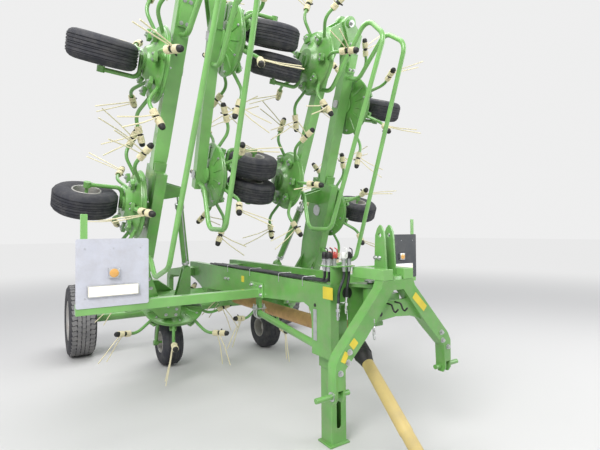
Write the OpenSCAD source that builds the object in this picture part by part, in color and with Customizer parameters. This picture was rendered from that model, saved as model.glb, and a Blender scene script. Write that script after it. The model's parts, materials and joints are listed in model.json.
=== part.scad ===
// Trailed rotary hay tedder with ten rotors, wings folded up for the road.
// X: across the machine, Y: to the rear, Z: up, floor at Z = 0, origin on the floor below the middle of the machine's length.

/* [Stance] */
// Forward pitch of the rotor line on the road, degrees
pitch_a = 23; // [15:0.5:24]
// Height of the middle pans above the floor
line_z = 541; // [535:1:600]
// Place of the middle pans fore and aft
line_y = -47; // [-150:1:100]
// How far the wings' rotors lie ahead of the middle ones
wing_fwd = 80; // [0:5:120]

/* [Rotors] */
// Distance between rotor axes
rotor_gap = 1100; // [1050:5:1150]
// Radius of a rotor's pan
pan_r = 280; // [240:5:310]
// Number of tine arms on a rotor
arm_n = 7; // [5:2:7]
// Radius of a tine arm's tube
arm_r = 14; // [10:1:18]
// Radius at which an arm bends up again
arm_bend = 395; // [380:1:405]
// Radius of the inner tine coil's middle
coil_r = 497; // [485:1:505]
// Distance between an arm's two coils
coil_gap = 70; // [62:1:74]
// Length of one tine coil
coil_w = 52; // [40:1:56]
// Diameter of a tine coil
coil_d = 56; // [44:1:58]
// Radius of the circle that an arm's end runs on
cap_r = 612; // [600:1:620]
// Radius of the circle that the tine tips run on
tip_r = 725; // [700:1:728]
// How far the tips hang below the pan's foot
tip_drop = 262; // [230:1:265]
// Radius of a tine's wire
tine_r = 4.7; // [3.5:0.1:6]
// Radius of the fixed stem that a rotor turns on
stem_r = 35; // [25:1:45]
// Running clearance of a rotor on its stem
run_gap = 0.05; // [0.02:0.01:0.1]

/* [Rotor wheels] */
// Diameter of a rotor wheel's tyre
tyre_d = 457; // [400:1:460]
// Width of a rotor wheel's tyre
tyre_w = 190; // [150:1:195]
// Height of a pan's middle above its wheel's axle
wheel_drop = 336; // [330:1:360]
// Sideways shift of the outer wings' wheels, which interleave when folded
wheel_shift = 115; // [110:1:125]
// Radius of a rotor wheel's axle
axle_r = 12.5; // [10:0.5:15]
// Radius of a wheel leg's tube
leg_r = 16; // [12:1:17]

/* [Wings] */
// Distance of a wing's hinge from the machine's middle
piv_x = 805; // [780:1:830]
// Height of a wing's hinge above the pans
piv_n = 272; // [250:1:290]
// Angle by which a wing stands folded up, degrees
fold_a = 93.25; // [90:0.25:96]
// How far the outer wing's hinge lies beyond the middle between the third and fourth rotors
out_shift = 150; // [140:1:160]
// Height of the outer wing's hinge above the pans
out_n = 269; // [265:1:280]
// Angle by which the outer wing is folded over, degrees
out_a = 175.25; // [174:0.25:177]
// Height of the wing beams above the pans
beam_n = 155; // [140:1:170]
// Depth of the inner wing's beam
inner_h = 110; // [80:1:120]
// Depth of the outer wing's beam
outer_h = 92; // [70:1:110]
// Thickness of the inner wing's root plate
root_h = 84; // [60:1:100]
// Width of the inner wing's root
root_w = 340; // [260:5:380]
// Radius of the wing hinge pin
pin_r = 22; // [15:1:28]
// Thickness of the hinge plates
plate_t = 14; // [10:1:20]
// Radius of the guard hoops' tube
hoop_r = 19; // [14:1:24]
// How far forward the guard hoops reach
hoop_y = 775; // [740:5:780]

/* [Main frame] */
// Height of the top of the two long side beams
beam_top = 1003; // [980:1:1050]
// Distance of a side beam's outer face from the middle
beam_x = 260; // [220:5:300]
// Thickness of a side beam
beam_t = 60; // [40:2:80]
// Rear end of the side beams
beam_rear = 285; // [200:5:320]
// Front end of the side beams
beam_front = -2190; // [-2300:5:-2100]
// Height of the side beams at their rear end
beam_h = 235; // [200:5:260]

/* [Headstock] */
// Distance between the lower link pins' middles
link_gap = 870; // [825:5:965]
// Height of the lower link pins
link_z = 480; // [440:1:500]
// Place of the headstock fore and aft
head_y = -2445; // [-2460:5:-2430]
// Radius of a lower link pin
link_r = 14; // [11:0.5:18.5]
// Radius of the top link's hole
top_r = 12.7; // [9.5:0.1:16]
// Height of the top link's hole
top_z = 1290; // [1200:5:1320]
// Radius of the headstock's swivel pin
swivel_r = 28; // [20:1:35]
// Place of the swivel pin fore and aft
swivel_y = -2262; // [-2280:1:-2250]

/* [Parking stand] */
// Place of the parking stand fore and aft
stand_y = -2050; // [-2060:1:-2046]
// Width of the stand's sleeve
sleeve_w = 130; // [120:2:134]
// Depth of the stand's sleeve
sleeve_d = 126; // [110:2:128]
// Lower end of the sleeve
sleeve_z = 470; // [440:5:520]
// Wall of the sleeve
sleeve_wall = 8; // [5:0.5:10]

/* [Transport axle] */
// Diameter of a transport tyre
big_d = 760; // [740:5:780]
// Width of a transport tyre
big_w = 260; // [220:5:270]
// Distance of a transport wheel from the middle
big_x = 1252; // [1200:5:1300]
// Place of the transport axle fore and aft
big_y = 960; // [950:5:990]
// Diameter of a transport wheel's rim
rim_d = 400; // [380:5:420]
// Radius of the axle tube
tube_r = 48; // [40:1:60]
// Place of the axle's hinge fore and aft
swing_y = 190; // [150:5:220]
// Height of the axle's hinge
swing_z = 900; // [870:5:920]

/* [Warning boards] */
// Side of a square warning board
board_s = 420; // [400:1:440]
// Outer edge of a board from the middle
board_x = 1496; // [1450:1:1500]
// Height of a board's lower edge
board_z = 860; // [850:1:880]
// Place of the boards fore and aft
board_y = -1318; // [-1330:1:-1315]

/* [Drive line] */
// Radius of the guard tube below the frame
drive_r = 50; // [40:1:60]
// Height of the drive line
drive_z = 660; // [650:1:680]
// Radius of the drive shaft's guard
shaft_r = 36; // [28:1:42]

/* [Show] */
// Which piece to build

/* [Hidden] */
green = [0.20, 0.55, 0.22];
lit = [0.36, 0.70, 0.32];
black = [0.10, 0.10, 0.11];
cream = [0.88, 0.84, 0.62];
silver = [0.72, 0.73, 0.76];
ochre = [0.78, 0.50, 0.20];
yellow = [0.90, 0.74, 0.25];
chrome = [0.80, 0.80, 0.82];
gap = 0.3;
out_x = 3 * rotor_gap + out_shift;
pan_top = 84;
pan_low = -66;
house_n = pan_top + 8;
arm_low = -70;
cap_n = 14;
cap_d = 46;
tip_back = 55;
tip_gap = 80;
flange_t = 14;
leg_x = tyre_w / 2 + leg_r + 14;
board_t = 4;
bar_s = 64;
root_len = 1985;
gap_y = root_w / 2;
seat_n = beam_n + 55 + gap;
cyl_base = [495, 500];
cyl_eye = [660, 1250];
cyl_y = -60;
// where the cylinder's eye meets the root, in the working wing
eye_x = piv_x + (cyl_eye[0] - piv_x) * cos(fold_a) + (cyl_eye[1] - piv_n) * sin(fold_a);
eye_n = piv_n - (cyl_eye[0] - piv_x) * sin(fold_a) + (cyl_eye[1] - piv_n) * cos(fold_a);
head_w = 68;
link_out = 120;
link_in = 90;
drive_y = -1890;
gear_y = -330;
shaft_b = [-40, -2176, 610];
shaft_c = [-390, -3300, shaft_r];
// the machine's rearmost and foremost points before it is moved to stand over the origin
rear_y = big_y + big_d / 2;
front_y = shaft_c[1] - shaft_r * sqrt(1 - pow((shaft_c - shaft_b)[1] / norm(shaft_c - shaft_b), 2));
mid_y = -(rear_y + front_y) / 2;
stand_x = -beam_x + beam_t + sleeve_w / 2 + gap;
// side, number from the middle, turning sense, wheel shift across, leg side
STATIONS = [for (s = [-1, 1], i = [1:5]) [s, i, s * (i % 2 == 1 ? -1 : 1), i > 3 ? wheel_shift : 0, i > 3 ? 1 : i == 3 ? -s : s]];
function st(s, i) = STATIONS[(s < 0 ? 0 : 5) + i - 1];
function unit(v) = v / norm(v);
// a point of the tilted rotor line, y to the rear and n up from the pans, as [Y, Z]
function lp(y, n) = [line_y + y * cos(pitch_a) - n * sin(pitch_a), line_z + y * sin(pitch_a) + n * cos(pitch_a)];

// ---- shared shapes ----
module rod(a, b, r) {
  d = b - a;
  translate(a) rotate([0, acos(d[2] / norm(d)), atan2(d[1], d[0])]) cylinder(h = norm(d), r = r, $fn = 32);
}
// a tube through the given points, a round elbow of radius br at each inner one
module bent(pts, r, br) {
  for (i = [0:len(pts) - 2]) let (u = unit(pts[i + 1] - pts[i])) rod(pts[i] + u * trimmed(pts, i, br), pts[i + 1] - u * trimmed(pts, i + 1, br), r);
  for (i = [1:len(pts) - 2]) elbow(pts[i], unit(pts[i] - pts[i - 1]), unit(pts[i + 1] - pts[i]), r, br);
}
function trimmed(pts, i, br) = i == 0 || i == len(pts) - 1 ? 0
  : br * tan(acos(unit(pts[i] - pts[i - 1]) * unit(pts[i + 1] - pts[i])) / 2) - 3;
// the elbow at point p between directions u and v, a little thicker than the tube that runs into it
module elbow(p, u, v, r, br) {
  th = acos(u * v);
  w = unit(v - (u * v) * u);
  c = p - u * br * tan(th / 2) + w * br;
  z = cross(-w, u);
  multmatrix([[-w[0], u[0], z[0], c[0]], [-w[1], u[1], z[1], c[1]], [-w[2], u[2], z[2], c[2]], [0, 0, 0, 1]])
    rotate_extrude(angle = th, $fn = 96) translate([br, 0]) circle(r = r + 0.5, $fn = 32);
}
module xcyl(x0, x1, r, fn = 48) { translate([x0, 0, 0]) rotate([0, 90, 0]) cylinder(h = x1 - x0, r = r, $fn = fn); }
module ycyl(y0, y1, r, fn = 48) { translate([0, y0, 0]) rotate([-90, 0, 0]) cylinder(h = y1 - y0, r = r, $fn = fn); }
// a plate standing across X, its outline given as [y, z]
module xplate(x0, x1) { translate([x0, 0, 0]) rotate([90, 0, 90]) linear_extrude(height = x1 - x0) children(); }
// a plate standing across Y, its outline given as [x, z]
module yplate(y0, y1) { translate([0, y1, 0]) rotate([90, 0, 0]) linear_extrude(height = y1 - y0) children(); }

// ---- frames ----
module place() { translate([0, mid_y, 0]) children(); }
module line() { translate([0, line_y, line_z]) rotate([pitch_a, 0, 0]) children(); }
module turned(x, n, a) { translate([x, 0, n]) rotate([0, -a, 0]) translate([-x, 0, -n]) children(); }
module inner(s) { line() turned(s * piv_x, piv_n, s * fold_a) translate([0, -wing_fwd, 0]) children(); }
module outer(s) { inner(s) turned(s * out_x, out_n, s * out_a) children(); }
module station(s, i) {
  x = s * rotor_gap * (i - 0.5);
  if (i == 1) line() translate([x, 0, 0]) children();
  else if (i < 4) inner(s) translate([x, 0, 0]) children();
  else outer(s) translate([x, 0, 0]) children();
}

// ---- rotor: pan, arms, coils, double tines and end caps ----
// the arm's rising outer stretch at radius r
function arm_pt(r) = [r, 0, arm_low + (r - arm_bend) * (cap_n - arm_low) / (cap_r - arm_bend)];
// foot of a tine on the circle of radius r, trailing behind its arm
function tip_pt(r, drop) = [r * cos(asin(tip_back / r)), -tip_back, -drop];
module rotor() {
  difference() {
    union() {
      rotate_extrude($fn = 72) polygon([[0, pan_top], [100, pan_top], [128, pan_top - 6], [152, pan_top - 18], [pan_r - 18, 54], [pan_r - 4, 50], [pan_r, 44],
        [pan_r - 4, 38], [pan_r - 16, 32], [pan_r - 18, 26], [pan_r - 14, 18], [pan_r - 28, 8], [152, -20], [126, -34], [108, pan_low], [0, pan_low]]);
      for (k = [0:arm_n - 1]) rotate([0, 0, k * 360 / arm_n]) {
        bent([[pan_r - 65, 0, 28], [arm_bend, 0, arm_low], arm_pt(cap_r)], arm_r, 120);
        rod(arm_pt(cap_r - 22), arm_pt(cap_r + 16), cap_d / 2);
        for (j = [0, 1]) {
          r = coil_r + j * coil_gap;
          rod(arm_pt(r - coil_w / 2), arm_pt(r + coil_w / 2), coil_d / 2);
          rod(arm_pt(r + 8) - [0, 0, coil_d / 2 - 8], tip_pt(tip_r - (1 - j) * tip_gap, tip_drop + (1 - j) * 23), tine_r);
        }
      }
    }
    translate([0, 0, -100]) cylinder(h = 250, r = stem_r + run_gap, $fn = 48);
  }
}
module rotor_at(s, i) { color(green) place() station(s, i) mirror([0, st(s, i)[2] < 0 ? 1 : 0, 0]) rotor(); }

// ---- wheel leg: stem, flange, tube and stub axle ----
module leg(shift, side) {
  lx = shift + side * leg_x;
  n0 = pan_low - gap - leg_r - 1;
  translate([0, 0, pan_low - gap - 6]) cylinder(h = house_n - pan_low + 6, r = stem_r, $fn = 48);
  translate([0, 0, pan_low - gap - flange_t]) cylinder(h = flange_t, r = 62, $fn = 48);
  bent([[lx < 0 ? 40 : -40, 0, n0], [lx, 0, n0], [lx, 0, -wheel_drop]], leg_r, 50);
  translate([lx, 0, -wheel_drop]) xcyl(-leg_r - 6, leg_r + 6, 26);
  translate([0, 0, -wheel_drop]) xcyl(min(lx, lx - side * (leg_x + 40)), max(lx, lx - side * (leg_x + 40)), axle_r, 32);
}
module leg_at(s, i) { station(s, i) leg(st(s, i)[3], st(s, i)[4]); }

// ---- small wheel: tyre, rim and hub turned in one piece ----
module small_wheel() {
  r = tyre_d / 2; w = tyre_w / 2;
  rotate([0, 90, 0]) difference() {
    rotate_extrude($fn = 72) polygon([[0, -42], [30, -42], [34, -12], [88, 2], [90, -w + 22], [104, -w + 10], [112, -w + 12], [150, -w + 1], [r - 52, -w], [r - 22, -w + 8], [r - 5, -w + 32],
      [r, -w + 62], [r, w - 62], [r - 5, w - 32], [r - 22, w - 8], [r - 52, w], [150, w - 1], [112, w - 12], [104, w - 10], [90, w - 22], [88, 14], [34, 2], [30, 42], [0, 42]]);
    translate([0, 0, -100]) cylinder(h = 200, r = axle_r + run_gap, $fn = 48);
  }
}
module wheel_at(s, i) { color(black) place() station(s, i) translate([st(s, i)[3], 0, -wheel_drop]) rotate([0, 0, st(s, i)[4] > 0 ? 0 : 180]) small_wheel(); }

// ---- wings ----
module root(s) {
  color(green) place() inner(s) {
    x0 = piv_x; b = root_len - 20;
    translate([0, 0, beam_n - root_h / 2]) linear_extrude(height = root_h)
      polygon([[s * (x0 + 110), -130], [s * (x0 + 110), 130], [s * (x0 + 420), root_w / 2], [s * b, root_w / 2], [s * b, -root_w / 2], [s * (x0 + 420), -root_w / 2]]);
    // hinge ears with their barrel
    difference() {
      union() {
        for (e = [-1, 1]) yplate(e * 105 - 12, e * 105 + 12) polygon([[s * (x0 - 34), piv_n - 30], [s * (x0 - 34), piv_n + 34], [s * (x0 + 40), piv_n + 40], [s * (x0 + 300), beam_n + root_h / 2], [s * (x0 + 300), beam_n - root_h / 2], [s * (x0 + 60), beam_n - root_h / 2]]);
        translate([s * x0, 0, piv_n]) ycyl(-gap_y + 30, gap_y - 30, 42);
      }
      translate([s * x0, 0, piv_n]) ycyl(-300, 300, pin_r + run_gap);
    }
    // gear housing of the second rotor
    translate([s * rotor_gap * 1.5, 0, house_n]) cylinder(h = beam_n - root_h / 2 - house_n + 1, r = 78, $fn = 48);
    // ram eye's fork, towards the other wing
    for (e = [-1, 1]) yplate(cyl_y + wing_fwd + e * 24 - 6, cyl_y + wing_fwd + e * 24 + 6) translate([s * eye_x, 0]) polygon([[-70, beam_n + root_h / 2 - 2], [-36, eye_n + 24], [-24, eye_n + 36], [24, eye_n + 36], [36, eye_n + 24], [90, beam_n + root_h / 2 - 2]]);
    // knuckle ears
    for (e = [-1, 1]) yplate(e * 78 - 10, e * 78 + 10) polygon([[s * (b - 60), beam_n - root_h / 2], [s * (b - 60), beam_n + root_h / 2], [s * (b + 70), beam_n + 46], [s * (b + 70), beam_n - 46]]);
  }
}
module inner_beam(s) {
  color(lit) place() inner(s) {
    b = root_len - 20;
    x0 = b + gap;
    xe = out_x - 70;
    yplate(-50, 50) polygon([[s * x0, beam_n - inner_h / 2 + 8], [s * x0, beam_n + inner_h / 2 - 8], [s * (x0 + 120), beam_n + inner_h / 2], [s * xe, beam_n + inner_h / 2], [s * xe, beam_n - inner_h / 2], [s * (x0 + 120), beam_n - inner_h / 2]]);
    translate([s * rotor_gap * 2.5, 0, house_n]) cylinder(h = beam_n - inner_h / 2 - house_n + 1, r = 78, $fn = 48);
    // plates that carry the outer wing's hinge
    for (e = [-1, 1]) { yplate(e * 62 - 10, e * 62 + 10) hinge_plate(s, out_x, -1); hinge_boss(s, out_x, -1, e * 62 - 10, e * 62 + 10); }
    for (e = [-1, 1]) yplate(e * 62 - 14, e * 62 + 14) polygon([[s * (xe - 330), beam_n - 40], [s * (xe - 330), beam_n + 40], [s * (xe - 120), beam_n + 40], [s * (xe - 120), beam_n - 40]]);
    // pin through the plates with a collar outside each
    translate([s * out_x, 0, out_n]) { ycyl(-90, 90, pin_r); for (e = [-1, 1]) ycyl(e * 80 - 10, e * 80 + 10, 34); }
  }
}
// outline of a hinge plate from a beam's end up to the hinge pin
module hinge_plate(s, x, d) {
  polygon([[s * (x + d * 340), beam_n - 40], [s * (x + d * 340), beam_n + 44], [s * (x + d * 150), beam_n + 92], [s * (x + d * 20), out_n + 56], [s * (x - d * 20), out_n - 40], [s * (x + d * 75), beam_n - 46]]);
}
// round boss of such a plate about the hinge pin, and the smaller one of its pivot for the folding rod
module hinge_boss(s, x, d, y0, y1) {
  translate([s * x, 0, out_n]) ycyl(y0, y1, 62);
  translate([s * (x + d * 165), 0, beam_n + 66]) ycyl(y0 - 8, y1 + 8, 30);
}
module outer_beam(s) {
  color(lit) place() outer(s) {
    x0 = out_x + 75; xe = rotor_gap * 4.5 + 120;
    translate([0, 0, 0]) yplate(-42, 42) polygon([[s * x0, beam_n - outer_h / 2], [s * x0, beam_n + outer_h / 2], [s * xe, beam_n + outer_h / 2 - 8], [s * xe, beam_n - outer_h / 2]]);
    for (i = [3.5, 4.5]) translate([s * rotor_gap * i, 0, house_n]) cylinder(h = beam_n - outer_h / 2 - house_n + 1, r = 78, $fn = 48);
    difference() {
      union() {
        for (e = [-1, 1]) { yplate(e * 46 - 5, e * 46 + 5) hinge_plate(s, out_x, 1); translate([s * out_x, 0, out_n]) ycyl(e * 46 - 5, e * 46 + 5, 60); }
        translate([s * out_x, 0, out_n]) ycyl(-51, 51, 40);
      }
      translate([s * out_x, 0, out_n]) ycyl(-100, 100, pin_r + run_gap);
    }
  }
}
// long U-shaped guards ahead of the rotors
module hoops(s) {
  y1 = -hoop_y + wing_fwd; y2 = y1 + 265; a = -root_w / 2 - gap; b = -50 - gap; c = -42 - gap;
  color(lit) place() {
    inner(s) bent([[s * (piv_x + 455), a, beam_n], [s * (piv_x + 455), a - 90, beam_n], [s * (piv_x + 395), y2, beam_n], [s * (piv_x + 615), y1, beam_n], [s * (out_x - 120), y1, beam_n],
      [s * (out_x - 50), y2, beam_n], [s * (out_x - 450), -200, beam_n], [s * (out_x - 450), b, beam_n]], hoop_r, 100);
    outer(s) bent([[s * (rotor_gap * 4.5 + 70), c, beam_n], [s * (rotor_gap * 4.5 + 70), -160, beam_n], [s * (rotor_gap * 4.5 + 350), -380, beam_n], [s * (rotor_gap * 4.5 + 230), y1, beam_n],
      [s * (out_x + 110), y1, beam_n], [s * (out_x - 10), y2, beam_n], [s * (out_x + 600), -190, beam_n], [s * (out_x + 600), c, beam_n]], hoop_r, 100);
  }
}

// ---- folding cylinders, standing beside the roots ----
function cyl_len() = norm(cyl_eye - cyl_base);
module cyl_frame(s) {
  d = cyl_eye - cyl_base;
  line() translate([s * cyl_base[0], cyl_y, cyl_base[1]]) rotate([0, s * atan2(d[0], d[1]), 0]) children();
}
module barrel(s) {
  color(green) place() cyl_frame(s) {
    difference() {
      union() { ycyl(-17, 17, 34); translate([0, 0, 25]) cylinder(h = 40, r = 16, $fn = 48); translate([0, 0, 52]) cylinder(h = 598, r = 32, $fn = 48); translate([0, 0, 610]) cylinder(h = 44, r = 38, $fn = 48); }
      ycyl(-40, 40, 15 + run_gap, 40);
      translate([0, 0, 60]) cylinder(h = 700, r = 18 + run_gap, $fn = 48);
    }
  }
}
module ram(s) {
  color(chrome) place() cyl_frame(s) {
    translate([0, 0, 90]) cylinder(h = cyl_len() - 120, r = 18, $fn = 48);
    difference() { translate([0, 0, cyl_len()]) ycyl(-17, 17, 32); translate([0, 0, cyl_len()]) ycyl(-40, 40, 16, 40); }
  }
}

// ---- middle of the rotor line ----
module rotor_beam() {
  color(green) place() line() {
    difference() {
      union() {
        yplate(-55, 55) polygon([[-740, beam_n - 55], [-740, beam_n + 55], [740, beam_n + 55], [740, beam_n - 55]]);
        for (s = [-1, 1]) {
          translate([s * rotor_gap / 2, 0, house_n]) cylinder(h = beam_n - 55 - house_n + 1, r = 82, $fn = 48);
          // hinge forks, clear of the root's barrel
          for (e = [-1, 1]) yplate(-wing_fwd + e * (gap_y - 17) - 12, -wing_fwd + e * (gap_y - 17) + 12)
            polygon([[s * 560, beam_n - 50], [s * 560, beam_n + 54], [s * 700, piv_n + 50], [s * (piv_x - 20), piv_n + 58], [s * (piv_x + 40), piv_n + 42], [s * (piv_x + 56), piv_n], [s * (piv_x + 30), piv_n - 50], [s * 730, beam_n - 50]]);
          translate([s * 650, -wing_fwd, beam_n]) yplate(-gap_y + 5, gap_y - 5) square([90, 104], center = true);
          // pin, its ends in the fork
          translate([s * piv_x, -wing_fwd, piv_n]) ycyl(-gap_y + 6, gap_y - 6, pin_r);
          // foot of the folding cylinder
          for (e = [-1, 1]) translate([s * cyl_base[0], cyl_y + e * 25, 0]) yplate(-7, 7) polygon([[-70, beam_n + 50], [-34, cyl_base[1] + 10], [0, cyl_base[1] + 34], [34, cyl_base[1] + 10], [70, beam_n + 50]]);
          translate([s * cyl_base[0], cyl_y, cyl_base[1]]) ycyl(-32, 32, 15, 40);
        }
        // middle gearbox
        translate([-115, -125, beam_n - 70]) cube([230, 250, 190]);
      }
    }
  }
  color(green) place() translate([0, 0, drive_z]) ycyl(gear_y, lp(-90, beam_n)[0], 62);
}
module middle_legs() { color(green) place() for (s = [-1, 1]) leg_at(s, 1); }
module wing_legs(s) { color(green) place() for (i = [2:5]) leg_at(s, i); }

// ---- main frame ----
module main_frame() {
  color(green) place() {
    zb = beam_top - beam_h;
    for (s = [-1, 1]) xplate(s > 0 ? beam_x - beam_t : -beam_x, s > 0 ? beam_x : -beam_x + beam_t)
      polygon([[beam_rear, beam_top - 6], [beam_rear - 20, beam_top], [beam_front, beam_top - 3], [beam_front, 560], [stand_y + 52, 560], [stand_y + 52, 760],
        [stand_y + 62, 810], [stand_y + 88, 845], [stand_y + 140, 862], [-1300, zb + 50], [-240, zb], lp(-68, seat_n), lp(120, seat_n), [140, 830], [beam_rear, 850]]);
    // cross members
    for (y = [-1250, -700]) translate([-beam_x + beam_t - 1, y - 50, beam_top - 150]) cube([2 * (beam_x - beam_t) + 2, 100, 100]);
    translate([-beam_x + beam_t - 1, beam_front, 740]) cube([2 * (beam_x - beam_t) + 2, 16, beam_top - 743]);
    translate([-beam_x + beam_t - 1, -60, beam_top - 120]) cube([2 * (beam_x - beam_t) + 2, 120, 90]);
    // strut below the left beam, back from the stand
    rod([-beam_x + beam_t / 2, stand_y + 50, 606], [-beam_x + beam_t / 2, -1240, 686], 24);
    translate([-beam_x + beam_t / 2 - 12, -1268, 664]) cube([24, 50, 170]);
    // swing pin of the transport axle
    translate([0, swing_y, swing_z]) xcyl(-330, 330, 25);
    // swivel fork
    for (z = [beam_top - 24, 752]) translate([0, 0, z]) linear_extrude(height = 20)
      polygon([[-110, beam_front + 8], [-58, swivel_y - 30], [-36, swivel_y - 54], [36, swivel_y - 54], [58, swivel_y - 30], [110, beam_front + 8]]);
    translate([0, swivel_y, 746]) cylinder(h = beam_top - 740, r = swivel_r, $fn = 48);
  }
}

// ---- headstock ----
module headstock() {
  color(green) place() {
    e = link_gap / 2;
    y0 = head_y - head_w / 2; y1 = head_y + head_w / 2;
    z0 = 772 + gap; z1 = beam_top - 24 - gap;
    difference() {
      union() {
        // the two legs, each bent upright at its foot
        yplate(y0, y1) polygon([for (q = [[118, 1040], [135, 1000], [e - 83, 767], [e - 10, 690], [e + 17, 640], [e + 17, 512], [e - 40, 512], [e - 45, 612], [e - 190, 752],
          [150, 856], [70, 950], [40, 985]]) q, for (q = [[40, 985], [70, 950], [150, 856], [e - 190, 752], [e - 45, 612], [e - 40, 512], [e + 17, 512], [e + 17, 640], [e - 10, 690],
          [e - 83, 767], [135, 1000], [118, 1040]]) [-q[0], q[1]]]);
        for (s = [-1, 1], x = [e - 40, e + 5]) xplate(min(s * x, s * (x + 12)), max(s * x, s * (x + 12)))
          polygon([[y0, 514], [y1, 514], [y1, link_z - 8], [head_y + 18, link_z - 34], [head_y - 18, link_z - 34], [y0, link_z - 8]]);
        // arched web between them
        yplate(head_y - 10, head_y + 10) polygon([[-100, 925], [100, 925], [155, 862], [232, 775], [190, 800], [120, 822], [0, 832], [-120, 822], [-190, 800], [-232, 775], [-155, 862]]);
        // barrel on the swivel pin and its arms
        translate([0, swivel_y, z0]) cylinder(h = z1 - z0, r = 54, $fn = 64);
        translate([-44, y1 - 30, z0 + 60]) cube([88, swivel_y - y1 + 30, z1 - z0 - 80]);
        translate([-100, y1 - 40, 985]) cube([200, 40, 55]);
        // mast for the top link
        for (s = [-1, 1]) translate([s * 36, 0, 0]) xplate(-7, 7) polygon([[y0 + 20, 1030], [y1 + 90, 1030], [y1 + 84, top_z], [y1 + 50, top_z + 58], [y1 + 10, top_z + 50], [y1 - 20, top_z]]);
        translate([-36, y1 - 60, 1030]) cube([72, 120, 30]);
      }
      translate([0, swivel_y, 600]) cylinder(h = 500, r = swivel_r + run_gap, $fn = 64);
      translate([0, y1 + 36, top_z]) xcyl(-100, 100, top_r);
      for (s = [-1, 1]) translate([s * e, head_y, link_z]) xcyl(-80, 80, link_r);
    }
    for (s = [-1, 1]) translate([s * e, head_y, link_z]) xcyl(s > 0 ? -link_in : -link_out, s > 0 ? link_out : link_in, link_r);
  }
}
module top_cover() {
  color(lit) place() difference() {
    translate([-120, head_y - head_w / 2, 1040 + gap]) cube([240, swivel_y + 40 - head_y + head_w / 2, 62]);
    translate([-44, head_y - 60, 1000]) cube([88, 260, 200]);
  }
}

// ---- parking stand ----
module stand_sleeve() {
  color(green) place() translate([stand_x, stand_y, 0]) difference() {
    translate([-sleeve_w / 2, -sleeve_d / 2, sleeve_z]) cube([sleeve_w, sleeve_d, 390]);
    translate([-sleeve_w / 2 + sleeve_wall, -sleeve_d / 2 + sleeve_wall, sleeve_z - 10]) cube([sleeve_w - 2 * sleeve_wall, sleeve_d - 2 * sleeve_wall, 420]);
  }
}
module stand_leg() {
  w = sleeve_w - 2 * sleeve_wall - 2 * gap; d = sleeve_d - 2 * sleeve_wall - 2 * gap;
  color(green) place() translate([stand_x, stand_y, 0]) {
    difference() {
      translate([-w / 2, -d / 2, 10]) cube([w, d, 710]);
      translate([-w / 2 + 8, -d / 2 + 8, 20]) cube([w - 16, d - 16, 720]);
      // long slot in the front
      translate([0, -d / 2 - 5, 0]) rotate([-90, 0, 0]) { translate([0, -120, 0]) cylinder(h = 20, r = 17, $fn = 40); translate([0, -370, 0]) cylinder(h = 20, r = 17, $fn = 40); translate([-17, -370, 0]) cube([34, 250, 20]); }
    }
    translate([-76, -66, 0]) cube([152, 132, 12]);
  }
}

// ---- drive line ----
module drive_tube() {
  color(ochre) place() {
    translate([0, 0, drive_z]) ycyl(drive_y, gear_y - gap, drive_r);
    translate([0, drive_y, drive_z]) rotate([90, 0, 0]) cylinder(h = 85, r1 = drive_r, r2 = 80, $fn = 48);
    rod([0, drive_y - 80, drive_z], shaft_b + (52 + gap) * unit([0, drive_y - 80, drive_z] - shaft_b), 25);
  }
}
// cross pin that the shaft lifts about, square to the shaft
module shaft_pin() { x = unit(cross(shaft_c - shaft_b, [0, 0, 1])); rod(shaft_b - 54 * x, shaft_b + 54 * x, 20); }
module drive_shaft() {
  color(yellow) place() {
    translate(shaft_b) sphere(r = 52, $fn = 40);
    shaft_pin();
    rod(shaft_b, shaft_c, shaft_r);
    rod(shaft_b, shaft_b + (shaft_c - shaft_b) * 0.12, 56);
  }
}

// ---- warning boards ----
module board_bar() {
  color(lit) place() for (s = [-1, 1]) {
    translate([s > 0 ? beam_x + gap : -board_x, board_y + board_t + gap, board_z - 42]) cube([board_x - beam_x - gap, bar_s, bar_s]);
    translate([s > 0 ? beam_x + gap : -beam_x - gap - 12, board_y - 60, board_z - 42]) cube([12, 200, 110]);
    translate([s * (board_x - 45) - 20, board_y + board_t + gap, board_z + 10]) cube([40, 10, 560]);
  }
}
module board(s) {
  color(silver) place() translate([s > 0 ? board_x - board_s : -board_x, board_y, board_z]) cube([board_s, board_t, board_s]);
}
module reflectors() {
  color([0.95, 0.75, 0.4]) place() for (s = [-1, 1]) {
    translate([s * (board_x - board_s / 2) - 150, board_y - gap - 14, board_z + 60]) cube([300, 14, 80]);
    translate([s * (board_x - board_s / 2) - 32, board_y - gap - 26, board_z + 175]) cube([64, 26, 64]);
  }
}

// ---- transport axle ----
module axle_frame() {
  color(green) place() {
    difference() {
      union() {
        for (s = [-1, 1]) xplate(s > 0 ? beam_x + gap : -beam_x - gap - 50, s > 0 ? beam_x + gap + 50 : -beam_x - gap)
          polygon([[swing_y - 50, swing_z - 40], [swing_y - 50, swing_z + 40], [swing_y - 20, swing_z + 58], [swing_y + 40, swing_z + 56], [big_y - 60, swing_z - 20], [big_y + 30, swing_z - 90], [big_y + 60, big_d / 2], [big_y - 56, big_d / 2], [big_y - 70, swing_z - 130], [big_y - 120, swing_z - 82], [swing_y + 30, swing_z - 50]]);
        translate([0, big_y, big_d / 2]) xcyl(-big_x + big_w / 2 + 20, big_x - big_w / 2 - 20, tube_r);
        translate([0, big_y, big_d / 2]) xcyl(-big_x - 50, big_x + 50, 28);
        translate([0, big_y - 20, swing_z - 90]) xcyl(-beam_x - 10, beam_x + 10, 36);
      }
      translate([0, swing_y, swing_z]) xcyl(-400, 400, 25 + run_gap);
    }
  }
}
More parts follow.
